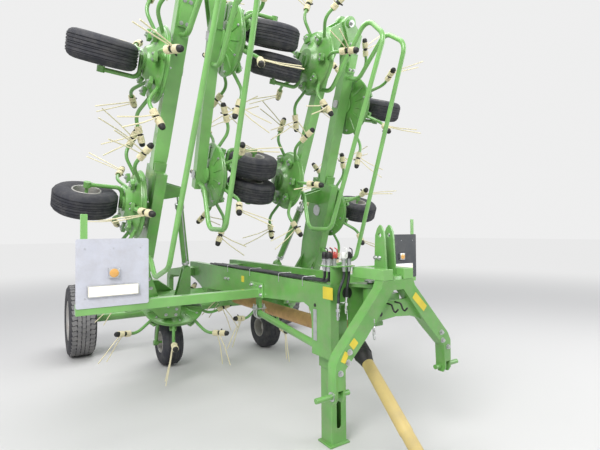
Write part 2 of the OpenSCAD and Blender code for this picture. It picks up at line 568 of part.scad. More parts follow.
module big_tyre(s) {
  r = big_d / 2; w = big_w / 2; q = rim_d / 2;
  color(black) place() translate([s * big_x, big_y, r]) rotate([0, 90, 0]) rotate_extrude($fn = 96)
    polygon([[q + gap, -w + 34], [q + 14, -w + 22], [q + 60, -w + 2], [q + 110, -w], [r - 22, -w + 10], [r - 6, -w + 26], [r, -w + 50], [r, w - 50], [r - 6, w - 26], [r - 22, w - 10], [q + 110, w], [q + 60, w - 2], [q + 14, w - 22], [q + gap, w - 34]]);
}
module big_rim(s) {
  r = big_d / 2; w = big_w / 2; q = rim_d / 2;
  color(silver) place() translate([s * big_x, big_y, r]) rotate([0, s * 90, 0]) difference() {
    rotate_extrude($fn = 96) polygon([[0, -70], [64, -70], [64, -20], [110, -8], [150, 6], [q - 14, 6], [q - 14, -w + 30], [q - 8, -w + 22], [q + 8, -w + 14], [q + 8, -w + 22], [q, -w + 34], [q, w - 34], [q + 8, w - 22], [q + 8, w - 14], [q - 8, w - 22], [q - 14, w - 30], [q - 14, 16], [150, 16], [108, 2], [64, -10], [64, 48], [48, 54], [0, 54]]);
    translate([0, 0, -200]) cylinder(h = 252, r = 28 + run_gap, $fn = 48);
  }
}

main_frame();
rotor_beam();
stand_sleeve();
stand_leg();
drive_tube();
drive_shaft();
board_bar();
board(-1);  // board_left
board(1);  // board_right
reflectors();
middle_legs();
headstock();
top_cover();
root(-1);  // root_left
root(1);  // root_right
inner_beam(-1);  // inner_left
inner_beam(1);  // inner_right
outer_beam(-1);  // outer_left
outer_beam(1);  // outer_right
hoops(-1);  // hoops_left
hoops(1);  // hoops_right
wing_legs(-1);  // legs_left
wing_legs(1);  // legs_right
barrel(-1);  // barrel_left
barrel(1);  // barrel_right
ram(-1);  // ram_left
ram(1);  // ram_right
rotor_at(-1, 1);  // rotor_l1
rotor_at(-1, 2);  // rotor_l2
rotor_at(-1, 3);  // rotor_l3
rotor_at(-1, 4);  // rotor_l4
rotor_at(-1, 5);  // rotor_l5
rotor_at(1, 1);  // rotor_r1
rotor_at(1, 2);  // rotor_r2
rotor_at(1, 3);  // rotor_r3
rotor_at(1, 4);  // rotor_r4
rotor_at(1, 5);  // rotor_r5
wheel_at(-1, 1);  // wheel_l1
wheel_at(-1, 2);  // wheel_l2
wheel_at(-1, 3);  // wheel_l3
wheel_at(-1, 4);  // wheel_l4
wheel_at(-1, 5);  // wheel_l5
wheel_at(1, 1);  // wheel_r1
wheel_at(1, 2);  // wheel_r2
wheel_at(1, 3);  // wheel_r3
wheel_at(1, 4);  // wheel_r4
wheel_at(1, 5);  // wheel_r5
axle_frame();
big_tyre(-1);  // tyre_left
big_tyre(1);  // tyre_right
big_rim(-1);  // rim_left
big_rim(1);  // rim_right
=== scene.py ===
"""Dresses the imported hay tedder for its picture: rotors, wheels, paint, boards, hoses and small fittings.

Lengths are in metres. What sits on the main frame, the headstock and the rack of couplers is written in
the main frame's own drawing, and ground() or on_frame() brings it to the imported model.
"""

import json
import math

import bmesh
import bpy
from mathutils import Matrix, Vector

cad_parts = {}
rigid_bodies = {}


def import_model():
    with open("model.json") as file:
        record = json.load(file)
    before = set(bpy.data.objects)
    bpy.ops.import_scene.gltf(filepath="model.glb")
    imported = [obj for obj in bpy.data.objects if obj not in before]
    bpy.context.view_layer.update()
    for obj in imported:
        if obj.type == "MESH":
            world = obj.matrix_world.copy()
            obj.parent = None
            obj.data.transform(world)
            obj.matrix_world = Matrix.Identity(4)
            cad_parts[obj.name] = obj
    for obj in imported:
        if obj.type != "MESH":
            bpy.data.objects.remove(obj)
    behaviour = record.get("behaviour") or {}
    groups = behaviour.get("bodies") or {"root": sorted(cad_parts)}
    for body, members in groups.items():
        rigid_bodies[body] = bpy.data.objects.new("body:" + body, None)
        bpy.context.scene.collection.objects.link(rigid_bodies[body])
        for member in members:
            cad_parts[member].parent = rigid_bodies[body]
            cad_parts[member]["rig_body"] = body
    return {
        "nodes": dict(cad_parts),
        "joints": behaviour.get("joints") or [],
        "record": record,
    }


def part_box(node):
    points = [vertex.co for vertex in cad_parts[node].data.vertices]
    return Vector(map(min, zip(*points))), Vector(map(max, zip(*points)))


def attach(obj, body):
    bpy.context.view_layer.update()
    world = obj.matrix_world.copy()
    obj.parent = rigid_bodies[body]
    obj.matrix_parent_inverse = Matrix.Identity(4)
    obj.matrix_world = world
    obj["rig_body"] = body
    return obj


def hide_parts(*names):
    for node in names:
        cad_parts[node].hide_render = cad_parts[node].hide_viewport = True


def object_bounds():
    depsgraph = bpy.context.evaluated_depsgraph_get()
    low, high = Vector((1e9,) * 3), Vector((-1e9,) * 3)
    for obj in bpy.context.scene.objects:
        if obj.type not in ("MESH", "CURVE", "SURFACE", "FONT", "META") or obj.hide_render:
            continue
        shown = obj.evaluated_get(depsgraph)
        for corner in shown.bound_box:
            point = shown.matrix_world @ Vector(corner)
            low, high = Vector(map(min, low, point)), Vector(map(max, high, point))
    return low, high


bl_info = {
    "name": "Hay tedder",
    "version": (1, 0, 0),
    "blender": (4, 5, 0),
    "location": "View3D > Sidebar > Tedder",
    "description": "Builds the visible pieces of a folded rotary hay tedder",
    "category": "Object",
}

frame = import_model()
CAD_LOW, CAD_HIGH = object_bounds()
JOINTS = {joint["name"]: joint for joint in frame["joints"]}
SIDES = {"l": ("left", -1), "r": ("right", 1)}
TAGS = [side + str(i) for side in SIDES for i in range(1, 6)]
FULL = 2 * math.pi
HERE = Matrix.Identity(4)
# from rotor to rotor, and the swivel's place in the main frame's drawing
ROTOR_GAP, SWIVEL_Y = 1.1, -2.262
UP = Vector((0, 0, 1))
AHEAD = (0, -1, 0)
LEFTWARDS = (-1, 0, 0)
FINISHES = {}


# ---- sizes and colours a user may change ----
class TedderSizes(bpy.types.PropertyGroup):
    arm_radius: bpy.props.FloatProperty(
        name="Arm radius", description="Radius of a tine arm's tube", default=0.014, unit="LENGTH")
    wire_radius: bpy.props.FloatProperty(
        name="Wire radius", description="Radius of the tine wire", default=0.0047, unit="LENGTH")
    coil_radius: bpy.props.FloatProperty(
        name="Coil radius", description="Outer radius of a tine's coil", default=0.028, unit="LENGTH")
    coil_turns: bpy.props.IntProperty(
        name="Coil turns", description="Turns in one coil", default=5, min=2, max=8)
    edge: bpy.props.FloatProperty(
        name="Edge", description="Rounding of the steel plates' edges", default=0.003, unit="LENGTH")
    tread_groove: bpy.props.FloatProperty(
        name="Tread groove", description="Depth of the small tyres' grooves", default=0.005, unit="LENGTH")


class TedderColours(bpy.types.PropertyGroup):
    paint: bpy.props.FloatVectorProperty(
        name="Paint", description="Green of the frame and rotors", subtype="COLOR", size=3,
        default=(0.15, 0.41, 0.085))
    # painted light: a lighter copy of the same green paint, for the wing beams, hoops, top cover and board
    # bar where they catch the light
    light_paint: bpy.props.FloatVectorProperty(
        name="Light paint", description="Green of the wing beams and hoops", subtype="COLOR", size=3,
        default=(0.22, 0.52, 0.135))
    cream: bpy.props.FloatVectorProperty(
        name="Cream", description="Colour of the tine coils", subtype="COLOR", size=3,
        default=(0.84, 0.76, 0.5))
    rubber: bpy.props.FloatVectorProperty(
        name="Rubber", description="Colour of the tyres", subtype="COLOR", size=3,
        default=(0.03, 0.031, 0.04))
    ochre: bpy.props.FloatVectorProperty(
        name="Ochre", description="Colour of the rusty shaft tube", subtype="COLOR", size=3,
        default=(0.54, 0.32, 0.13))
    yellow: bpy.props.FloatVectorProperty(
        name="Yellow", description="Colour of the drive shaft's guard", subtype="COLOR", size=3,
        default=(0.6, 0.46, 0.17))


def sizes():
    return bpy.context.scene.tedder_sizes


def colours():
    return bpy.context.scene.tedder_colours


# ---- shader groups and finishes ----
def fill(made, *inputs, **values):
    """Sets a node's inputs, in order or by name with _ for a space, and its settings; sockets are linked."""
    named = [(made.inputs[i], value) for i, value in enumerate(inputs)]
    for key, value in values.items():
        label = key.replace("_", " ")
        if label in made.inputs:
            named.append((made.inputs[label], value))
        else:
            setattr(made, key, value)
    for socket, value in named:
        if isinstance(value, bpy.types.NodeSocket):
            made.id_data.links.new(value, socket)
        else:
            socket.default_value = value


def node(tree, kind, *inputs, **values):
    """The outputs of a new node."""
    made = tree.nodes.new(kind)
    fill(made, *inputs, **values)
    return made.outputs


def weather_group():
    """Masks for blotches, dust, chips and fine grain, all from one point."""
    if "weather" in bpy.data.node_groups:
        return bpy.data.node_groups["weather"]
    tree = bpy.data.node_groups.new("weather", "ShaderNodeTree")
    new_socket = tree.interface.new_socket
    new_socket("Point", in_out="INPUT", socket_type="NodeSocketVector")
    for name, value in (("Blotch size", 0.25), ("Dust", 0.4), ("Chips", 0.1), ("Grain size", 0.004)):
        new_socket(name, in_out="INPUT", socket_type="NodeSocketFloat").default_value = value
    for name in ("Blotch", "Dust", "Chips", "Grain"):
        new_socket(name, in_out="OUTPUT", socket_type="NodeSocketFloat")
    given = tree.nodes.new("NodeGroupInput").outputs

    def noise(size, detail, rough=0.55):
        """Noise whose size is a number or a socket."""
        scale = node(tree, "ShaderNodeMath", 1.0, size, operation="DIVIDE")[0]
        return node(tree, "ShaderNodeTexNoise", Vector=given["Point"], Scale=scale, Detail=detail,
                    Roughness=rough)["Fac"]

    def above(source, low, high, share=1.0):
        """The part of a noise above low, full from high on, times a share."""
        mask = node(tree, "ShaderNodeMapRange", Value=source, From_Min=low, From_Max=high)["Result"]
        return node(tree, "ShaderNodeMath", mask, share, operation="MULTIPLY")[0]

    fill(tree.nodes.new("NodeGroupOutput"),
         Blotch=above(noise(given["Blotch size"], 3), 0.3, 0.7),
         Dust=above(noise(0.07, 6, 0.7), 0.42, 0.72, given["Dust"]),
         Chips=above(noise(0.018, 5, 0.75), 0.66, 0.7, given["Chips"]),
         Grain=noise(given["Grain size"], 2))
    return tree


def finish(name, colour, roughness=0.45, metallic=0.0, coat=0.0, dust=(0.3, 0.26, 0.2), dusty=0.35,
           chip=(0.1, 0.09, 0.08), chips=0.25, shade=0.72, grain=0.004, bump=0.15, blotch=0.25):
    """A worn finish: base colour in blotches, dust lying over it, small chips, fine grain in the bump."""
    if name in FINISHES:
        return FINISHES[name]
    material = FINISHES[name] = bpy.data.materials.new("worn_" + name)
    material.use_nodes = True
    t = material.node_tree
    place = node(t, "ShaderNodeTexCoord")["Object"]
    masks = node(t, "ShaderNodeGroup", node_tree=weather_group(), Point=place, Blotch_size=blotch,
                 Dust=dusty, Chips=chips, Grain_size=grain)
    layered = (*colour, 1)
    for mask, tone in (("Blotch", [c * shade for c in colour]), ("Dust", dust), ("Chips", chip)):
        layered = node(t, "ShaderNodeMix", data_type="RGBA", Factor=masks[mask], A=layered,
                       B=(*tone, 1))["Result"]
    dull = node(t, "ShaderNodeMapRange", Value=masks["Dust"], To_Min=roughness,
                To_Max=min(1.0, roughness + 0.35))["Result"]
    relief = node(t, "ShaderNodeBump", Height=masks["Grain"], Strength=bump, Distance=0.001)["Normal"]
    fill(t.nodes["Principled BSDF"], Base_Color=layered, Metallic=metallic, Roughness=dull, Normal=relief,
         Coat_Weight=coat, Coat_Roughness=0.15)
    return material


def green():
    return finish("green_paint", colours().paint, 0.32, coat=0.5, dusty=0.3, chips=0.3)


# the same green paint made lighter: painted light for the parts that catch the light
def light_green():
    return finish("painted_lit_green_paint", colours().light_paint, 0.28, coat=0.6, dusty=0.14, chips=0.22)


def cream():
    return finish("cream_coils", colours().cream, 0.45, dusty=0.12, shade=0.9, chips=0.35,
                  chip=(0.36, 0.28, 0.14))


def rubber():
    return finish("rubber", colours().rubber, 0.75, dust=(0.16, 0.15, 0.14), dusty=0.4, chips=0.0,
                  bump=0.35, grain=0.002)


def tread_face():
    return finish("tread_face", (0.2, 0.195, 0.2), 0.85, dust=(0.3, 0.285, 0.27), dusty=0.45,
                  chips=0.0, bump=0.35, grain=0.002)


def black_cap():
    return finish("black_cap", (0.008, 0.008, 0.009), 0.55, dusty=0.08, chips=0.0)


def zinc():
    return finish("zinc", (0.62, 0.63, 0.64), 0.32, metallic=0.85, dusty=0.2, chips=0.2, shade=0.8,
                  grain=0.006, blotch=0.03)


def chrome():
    return finish("chrome_rod", (0.8, 0.8, 0.82), 0.12, metallic=1.0, dusty=0.06, chips=0.0,
                  shade=0.95, bump=0.02)


def rim_paint():
    return finish("rim_paint", (0.5, 0.49, 0.47), 0.42, metallic=0.2, dusty=0.45,
                  dust=(0.26, 0.19, 0.14), chips=0.6, chip=(0.2, 0.09, 0.05))


def rust():
    return finish("rusty_tube", colours().ochre, 0.7, dusty=0.45, dust=(0.24, 0.14, 0.075), chips=0.5,
                  chip=(0.6, 0.46, 0.24), shade=0.8, blotch=0.06, bump=0.5)


def guard_yellow():
    return finish("guard_yellow", colours().yellow, 0.5, dusty=0.45, dust=(0.4, 0.32, 0.18),
                  chips=0.1, shade=0.8)


def board_face():
    return finish("board_face", (0.62, 0.63, 0.7), 0.4, metallic=0.2, dusty=0.25,
                  dust=(0.36, 0.33, 0.3), chips=0.4, chip=(0.2, 0.15, 0.12), shade=0.9, blotch=0.12)


def board_back():
    return finish("board_back", (0.052, 0.058, 0.066), 0.5, dusty=0.35, dust=(0.14, 0.14, 0.13), chips=0.1)


def label():
    return finish("label_yellow", (0.82, 0.66, 0.05), 0.4, dusty=0.15, chips=0.1)


def hose_skin():
    # its bluish grey dust is partly dust and partly a painted sheen, standing in for the light grey-blue
    # highlights on the hoses
    return finish("hose", (0.013, 0.013, 0.016), 0.36, dust=(0.15, 0.16, 0.19), dusty=0.3, chips=0.0)


def lamp(name, colour, roughness=0.15, painted_glow=0.0):
    """A lens, reflector or bright plastic; the painted glow is an emission, painted light that stands in for
    the light that a reflector throws back.
    """
    material = finish(name, colour, roughness, coat=0.8, dusty=0.1, chips=0.0, shade=0.9, bump=0.05)
    fill(material.node_tree.nodes["Principled BSDF"], Emission_Color=(1.0, 0.93, 0.76, 1),
         Emission_Strength=painted_glow)
    return material


# ---- shaping ----
def faced(verts, material):
    """Gives the faces round some vertices their material's number."""
    for face in {face for v in verts for face in v.link_faces}:
        face.material_index = material


def turned(angle, axis="Z"):
    """A turn about one of the three axes."""
    return Matrix.Rotation(angle, 4, axis)


def shares(count, start=0):
    """The turns about Z that share out a full circle."""
    return [turned(FULL * (k + start) / count) for k in range(count)]


def along_z(direction, place):
    """A frame at a place with its Z along a direction."""
    return Matrix.Translation(place) @ UP.rotation_difference(direction).to_matrix().to_4x4()


def facing(place, normal, up=(0, 0, 1)):
    """A frame at a place with Z along the normal and Y as near as may be to up."""
    z = Vector(normal).normalized()
    x = Vector(up).cross(z).normalized()
    return Matrix.Translation(place) @ Matrix((x, z.cross(x), z)).transposed().to_4x4()


def lathe(bm, outline, steps=48, material=0, at=HERE):
    """Turns an outline of (radius, height) points round Z."""
    before = set(bm.faces)
    verts = [bm.verts.new(at @ Vector((r, 0, z))) for r, z in outline]
    edges = [bm.edges.new(pair) for pair in zip(verts, verts[1:])]
    bmesh.ops.spin(bm, geom=verts + edges, cent=at.translation, axis=at.to_3x3() @ UP, angle=FULL,
                   steps=steps, use_merge=True)
    for face in set(bm.faces) - before:
        face.material_index = material


def sweep(bm, path, radius, sides=8, material=0, at=HERE):
    """A round tube along a path, its ends closed."""
    points = [at @ Vector(p) for p in path]
    along = [(b - a).normalized() for a, b in zip(points, points[1:])]
    middle = [(a + b).normalized() for a, b in zip(along, along[1:])]
    heading = [along[0]] + middle + [along[-1]]
    first = along_z(heading[0], points[0])
    ring = bmesh.ops.create_circle(bm, cap_ends=True, radius=radius, segments=sides, matrix=first)["verts"]
    face = ring[0].link_faces[0]
    face.material_index = material
    face.normal_flip()
    for i in range(1, len(points)):
        new = bmesh.ops.extrude_face_region(bm, geom=[face])["geom"]
        face = next(g for g in new if isinstance(g, bmesh.types.BMFace))
        swing = heading[i - 1].rotation_difference(heading[i]).to_matrix().to_4x4()
        move = Matrix.Translation(points[i]) @ swing @ Matrix.Translation(-points[i - 1])
        bmesh.ops.transform(bm, matrix=move, verts=face.verts)
        face.material_index = material


def rounded(points, radius, steps=6):
    """A path through the points with each inner corner rounded."""
    pts = [Vector(p) for p in points]
    path = [pts[0]]
    for a, p, b in zip(pts, pts[1:], pts[2:]):
        u, v = (p - a).normalized(), (b - p).normalized()
        bend = u.angle(v)
        if bend < 0.02:
            path.append(p)
            continue
        inward = (v - u * u.dot(v)).normalized()
        cut = min(radius * math.tan(bend / 2), 0.48 * (p - a).length, 0.48 * (b - p).length)
        r = cut / math.tan(bend / 2)
        centre = p - u * cut + inward * r
        for k in range(steps + 1):
            a_k = bend * k / steps
            path.append(centre + r * (math.sin(a_k) * u - math.cos(a_k) * inward))
    return path + [pts[-1]]


def peg(bm, foot, axis, radius, length, sides=6, material=0, at=HERE):
    """A round or many-sided peg standing on a point."""
    axis = (at.to_3x3() @ Vector(axis)).normalized()
    place = along_z(axis, at @ Vector(foot) + axis * length / 2)
    made = bmesh.ops.create_cone(bm, cap_ends=True, segments=sides, radius1=radius, radius2=radius,
                                 depth=length, matrix=place)["verts"]
    faced(made, material)


def bolt(bm, foot, axis, size, material=0, at=HERE):
    """A washer, a hexagon head and the bolt's end; the size is about half the width of the head."""
    axis = Vector(axis).normalized()
    # start, radius and height as shares of the size, and sides
    for start, radius, height, sides in ((0, 1.45, 0.25, 14), (0.25, 1.12, 0.85, 6), (1.1, 0.6, 0.5, 8)):
        peg(bm, Vector(foot) + axis * size * start, axis, size * radius, size * height, sides, material, at)


def round_edges(bm, edges, offset, segments):
    bmesh.ops.bevel(bm, geom=edges, offset=offset, segments=segments, profile=0.5, affect="EDGES",
                    material=-1)


def edges_along(edges, direction):
    """Those of the edges that run along a direction."""
    return [e for e in edges if abs((e.verts[0].co - e.verts[1].co).normalized().dot(direction)) > 0.9]


def block(bm, low, high, at=HERE, bevel=0.0, material=0):
    """A box between two corners, its edges rounded."""
    low, high = Vector(low), Vector(high)
    place = at @ Matrix.Translation((low + high) / 2) @ Matrix.Diagonal((*(high - low), 1))
    verts = bmesh.ops.create_cube(bm, size=1, matrix=place)["verts"]
    faced(verts, material)
    if bevel:
        round_edges(bm, list({e for v in verts for e in v.link_edges}), bevel, 2)
    return verts


def plate(bm, at, width, height, thick=0.0012, corner=0.004):
    """A thin plate with rounded corners lying in its frame's XY plane, its face up."""
    verts = block(bm, (-width / 2, -height / 2, 0), (width / 2, height / 2, thick), at)
    edges = {e for v in verts for e in v.link_edges}
    round_edges(bm, edges_along(edges, at.to_3x3() @ UP), corner, 3)


def meshed(bm, name):
    """The mesh of a bmesh, which is freed."""
    mesh = bpy.data.meshes.new(name)
    bm.to_mesh(mesh)
    bm.free()
    return mesh


def closed(bm, name):
    """The mesh of a bmesh with its doubles merged and its faces turned outwards."""
    bmesh.ops.remove_doubles(bm, verts=bm.verts, dist=1e-6)
    bmesh.ops.recalc_face_normals(bm, faces=bm.faces)
    return meshed(bm, name)


def in_scene(name, data):
    """A new object of the scene."""
    made = bpy.data.objects.new(name, data)
    bpy.context.scene.collection.objects.link(made)
    return made


def placed(name, mesh, materials, body, replaced=(), sharp=35):
    """Makes a mesh a piece that rides on its body."""
    for material in materials:
        mesh.materials.append(material)
    mesh.shade_smooth()
    mesh.set_sharp_from_angle(angle=math.radians(sharp))
    piece = in_scene(name, mesh)
    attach(piece, body)
    if replaced:
        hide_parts(*replaced)
    return piece


def shown(name, bm, materials, body, replaced=()):
    """Makes a finished bmesh a piece that rides on its body."""
    return placed(name, closed(bm, name), materials, body, replaced)


def copied(name, pattern, at, materials, body, replaced=()):
    """A piece that is a copy of a pattern, brought to its place and mirrored where that asks for it."""
    mesh = pattern.copy()
    mesh.name = name
    mesh.transform(at)
    if at.determinant() < 0:
        mesh.flip_normals()
    return placed(name, mesh, materials, body, replaced)


def dressed(node_name, material, change=None):
    """A copy of a plain solid with its flat faces joined and its edges rounded, shown in its place."""
    source = frame["nodes"][node_name]
    bm = bmesh.new()
    bm.from_mesh(source.data)
    bmesh.ops.remove_doubles(bm, verts=bm.verts, dist=1e-5)
    bmesh.ops.dissolve_limit(bm, angle_limit=math.radians(0.6), verts=bm.verts, edges=bm.edges,
                             use_dissolve_boundaries=False)
    if change:
        change(bm)
    piece = placed("dressed_" + node_name, meshed(bm, node_name), [material], source["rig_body"],
                   (node_name,), 32)
    edge = piece.modifiers.new("edges", "BEVEL")
    edge.width = sizes().edge
    edge.segments = 2
    edge.limit_method = "ANGLE"
    edge.angle_limit = math.radians(40)
    edge.harden_normals = False


# ---- places ----
def spot(joint):
    return Vector(JOINTS[joint]["pos_m"])


def aim(joint):
    return Vector(JOINTS[joint]["axis"]).normalized()


def station(tag):
    """Place of a rotor: its pan's middle, Z up the stem and X along its wheel's axle."""
    z, x = aim("rotor_turn_" + tag), aim("wheel_roll_" + tag)
    return facing(spot("rotor_turn_" + tag), z, z.cross(x))


def reach_of(tag):
    """How far a rotor stands from the machine's middle plane along its wing, to the right."""
    return SIDES[tag[0]][1] * ROTOR_GAP * (int(tag[1]) - 0.5)


def bench(tag):
    """The drawing frame of the wing that carries a rotor, its origin in the machine's middle plane."""
    return station(tag) @ Matrix.Translation((-reach_of(tag), 0, 0))


def turning(tag):
    """1 or -1, the way that a rotor turns: neighbours turn against each other."""
    return SIDES[tag[0]][1] * (-1 if int(tag[1]) % 2 else 1)


def ground():
    """The main frame's drawing frame."""
    return Matrix.Translation((0, spot("headstock_swivel").y - SWIVEL_Y, 0))


def on_frame(*place):
    """A point of the main frame's drawing."""
    return ground() @ Vector(place)


# ---- rotors ----
# (radius, height) from the middle of the pan's top round its rim to the middle of its underside
PAN = [
    (0, 0.084), (0.1, 0.084), (0.128, 0.078), (0.152, 0.066), (0.21, 0.059), (0.262, 0.054),
    (0.276, 0.05), (0.28, 0.044), (0.276, 0.038), (0.265, 0.033), (0.262, 0.026), (0.266, 0.018),
    (0.262, 0.01), (0.252, 0.008), (0.2, -0.006), (0.152, -0.02), (0.126, -0.034), (0.109, -0.06),
    (0.104, -0.066), (0, -0.066)]
RIB = [(0.135, 0, 0.073), (0.16, 0, 0.0665), (0.24, 0, 0.0555), (0.262, 0, 0.0525)]
ARM = [(0.215, 0, 0.028), (0.395, 0, -0.07), (0.612, 0, 0.014)]
ARM_CAP = [(0, 0.036), (0.014, 0.033), (0.021, 0.024), (0.023, 0.01), (0.024, 0), (0.017, -0.002),
           (0, -0.002)]
STEM_RING = [(0.036, -0.0795), (0.06, -0.0795), (0.0615, -0.078), (0.0615, -0.067), (0.036, -0.067)]
ARMS, RIBS = 7, 14
# radii at which the clamp and the end cap sit on an arm
CLAMP_AT, CAP_AT = 0.532, 0.591
# of each coil: its place on the arm, the radius and height of its tine's tip, and its hand
COILS = ((0.497, 0.645, -0.285, 1), (0.567, 0.725, -0.262, -1))
# a coil's length, the steps of a turn, and how far the tips trail
COIL_LONG, COIL_STEPS, TIP_BACK = 0.052, 12, 0.055


def arm_point(r):
    """A point on the arm's outer stretch, which rises outwards, and the direction there."""
    (r1, _, z1), (r2, _, z2) = ARM[1:]
    slope = (z2 - z1) / (r2 - r1)
    return Vector((r, 0, z1 + (r - r1) * slope)), Vector((1, 0, slope)).normalized()


def rotor_body():
    """Pan with its ribs and its arms, their flat roots and bolts."""
    bm = bmesh.new()
    lathe(bm, PAN, 72)
    for spin in shares(ARMS):
        sweep(bm, rounded(ARM, 0.13, 8), sizes().arm_radius, 12, at=spin)
        block(bm, (0.175, -0.03, -0.018), (0.245, 0.03, 0.012), spin @ turned(0.16, "Y"), 0.004)
        for y in (-0.02, 0.02):
            bolt(bm, (0.212, y, -0.05), (0.1, 0, -1), 0.009, 1, spin)
        bolt(bm, (0.236, 0.05, 0.058), UP, 0.008, 1, spin)
    for spin in shares(RIBS, 0.5):
        sweep(bm, RIB, 0.006, 6, at=spin)
    return closed(bm, "pattern")


def rotor_coils():
    """Double tines: a coil each side of the dark clamp, and the two wires that hang from it."""
    s = sizes()
    mean = s.coil_radius - s.wire_radius
    steps = COIL_STEPS * s.coil_turns + 4
    across = Vector((0, 1, 0))
    bm = bmesh.new()
    for spin in shares(ARMS):
        for place, tip_r, tip_z, hand in COILS:
            centre, along = arm_point(place)
            up = along.cross(across)
            coil = []
            for i in range(steps + 1):
                a = FULL * i / COIL_STEPS - math.pi / 2
                on_axis = centre + along * hand * COIL_LONG * (i / steps - 0.5)
                coil.append(on_axis - mean * (math.cos(a) * across + math.sin(a) * up))
            foot = coil[-1]
            tip = Vector((math.sqrt(tip_r ** 2 - TIP_BACK ** 2), -TIP_BACK, tip_z))
            knee = foot.lerp(tip, 0.42) + Vector((0.006, 0.004, 0.004))
            sweep(bm, coil + [foot.lerp(knee, 0.5), knee, tip], s.wire_radius, 6, at=spin)
        clamp, along = arm_point(CLAMP_AT)
        peg(bm, clamp - along * 0.009, along, 0.0195, 0.018, 12, 1, spin)
        peg(bm, clamp + Vector((0, 0.01, 0.012)), (0.1, 0.75, 0.6), 0.006, 0.03, 8, 1, spin)
    return closed(bm, "pattern")


def rotor_caps():
    """Black rubber caps on the arms' ends and the ring round the stem."""
    end, along = arm_point(CAP_AT)
    bm = bmesh.new()
    for spin in shares(ARMS):
        lathe(bm, ARM_CAP, 16, at=spin @ along_z(along, end))
    lathe(bm, STEM_RING, 32)
    return closed(bm, "pattern")


class TEDDER_OT_rotors(bpy.types.Operator):
    """Builds the ten rotors with their arms, coils and tines"""
    bl_idname = "tedder.rotors"
    bl_label = "Rotors"

    def execute(self, context):
        pan, tines, caps = rotor_body(), rotor_coils(), rotor_caps()
        for tag in TAGS:
            body = "rotor_" + tag
            at = station(tag) @ Matrix.Diagonal((1, turning(tag), 1, 1))
            copied("rotor_pan_" + tag, pan, at, [green(), zinc()], body, (body,))
            copied("rotor_tines_" + tag, tines, at, [cream(), black_cap()], body)
            copied("rotor_caps_" + tag, caps, at, [black_cap()], body)
        return {"FINISHED"}


# ---- small wheels ----
# sections of wheels are outlines of (radius, place along the axle)
SMALL_RADIUS, SMALL_HALF = 0.2271, 0.095


def mirrored(half):
    """Half a section, carried on through its mirror image beyond the wheel's middle plane."""
    return half + [(r, -x) for r, x in reversed(half)]


def small_tyre():
    """Small tyre with six grooves round its tread."""
    radius, half = SMALL_RADIUS, SMALL_HALF
    bottom = radius - sizes().tread_groove
    section = [
        (0.104, half - 0.012), (0.118, half - 0.005), (0.15, half - 0.001), (radius - 0.052, half),
        (radius - 0.03, half - 0.006), (radius - 0.012, half - 0.02), (radius - 0.003, half - 0.04)]
    for outer, inner in ((0.055, 0.047), (0.033, 0.025), (0.011, 0.003)):
        section += [(radius, outer + 0.0015), (radius, inner + 0.006), (bottom, inner + 0.005),
                    (bottom, inner + 0.0012), (radius, inner)]
    bm = bmesh.new()
    lathe(bm, mirrored(section), 64)
    return closed(bm, "pattern")


def small_rim():
    """Small rim with its dish, hub and five bolts, its outer side up."""
    half = SMALL_HALF
    bm = bmesh.new()
    lathe(bm, [
        (0.104, half - 0.012), (0.1, half - 0.006), (0.094, half - 0.008), (0.09, half - 0.02),
        (0.088, 0.02), (0.075, 0.012), (0.036, 0.006), (0.034, 0.014), (0.03, 0.042), (0.014, 0.044),
        (0, 0.044)], 40)
    lathe(bm, [
        (0.088, 0.02), (0.09, 0.02 - half), (0.094, 0.008 - half), (0.1, 0.006 - half),
        (0.104, 0.012 - half)], 40)
    lathe(bm, [(0.034, 0.004), (0.03, -0.04), (0.014, -0.042), (0, -0.042)], 32)
    for spin in shares(5):
        bolt(bm, (0.058, 0, 0.01), UP, 0.007, 1, spin)
    return closed(bm, "pattern")


class TEDDER_OT_small_wheels(bpy.types.Operator):
    """Builds the small wheels below the rotors"""
    bl_idname = "tedder.small_wheels"
    bl_label = "Rotor wheels"

    def execute(self, context):
        tyre, rim = small_tyre(), small_rim()
        to_axle = turned(math.pi / 2, "Y")
        for tag in TAGS:
            body = "wheel_" + tag
            hub = Matrix.Translation(spot("wheel_roll_" + tag)) @ station(tag).to_3x3().to_4x4() @ to_axle
            copied("small_tyre_" + tag, tyre, hub, [rubber()], body, (body,))
            copied("small_rim_" + tag, rim, hub, [rim_paint(), zinc()], body)
        return {"FINISHED"}


# ---- transport wheels ----
# the radius of the tyre's bead, and the lugs in a row
BEAD, LUGS = 0.2003, 44
# the two sides of each row of lugs, along the axle
LUG_ROWS = ((-0.108, -0.064), (-0.057, -0.022), (-0.015, 0.015), (0.022, 0.057), (0.064, 0.108))


def road_tyre(radius, half):
    """Road tyre with five rows of slanted lugs, each second row set half a step round."""
    bm = bmesh.new()
    lathe(bm, mirrored([
        (BEAD, half - 0.034), (BEAD + 0.014, half - 0.022), (BEAD + 0.06, half - 0.004),
        (BEAD + 0.1, half - 0.001), (radius - 0.035, half - 0.006), (radius - 0.016, half - 0.02),
        (radius - 0.012, half - 0.04)]), 96)
    for spin in shares(LUGS):
        for row, (x0, x1) in enumerate(LUG_ROWS):
            # the middle rows stand so close that they run together as ribs
            drop, reach = (0.01, 0.0222) if row in (0, 4) else (0.0, 0.0258)
            at = spin @ turned(FULL * 0.5 * (row % 2) / LUGS) @ turned(0.12 * (row - 2), "X")
            block(bm, (radius - 0.016 - drop, -reach, x0), (radius - 0.0015 - 0.35 * drop, reach, x1), at,
                  material=1)
    return closed(bm, "pattern")


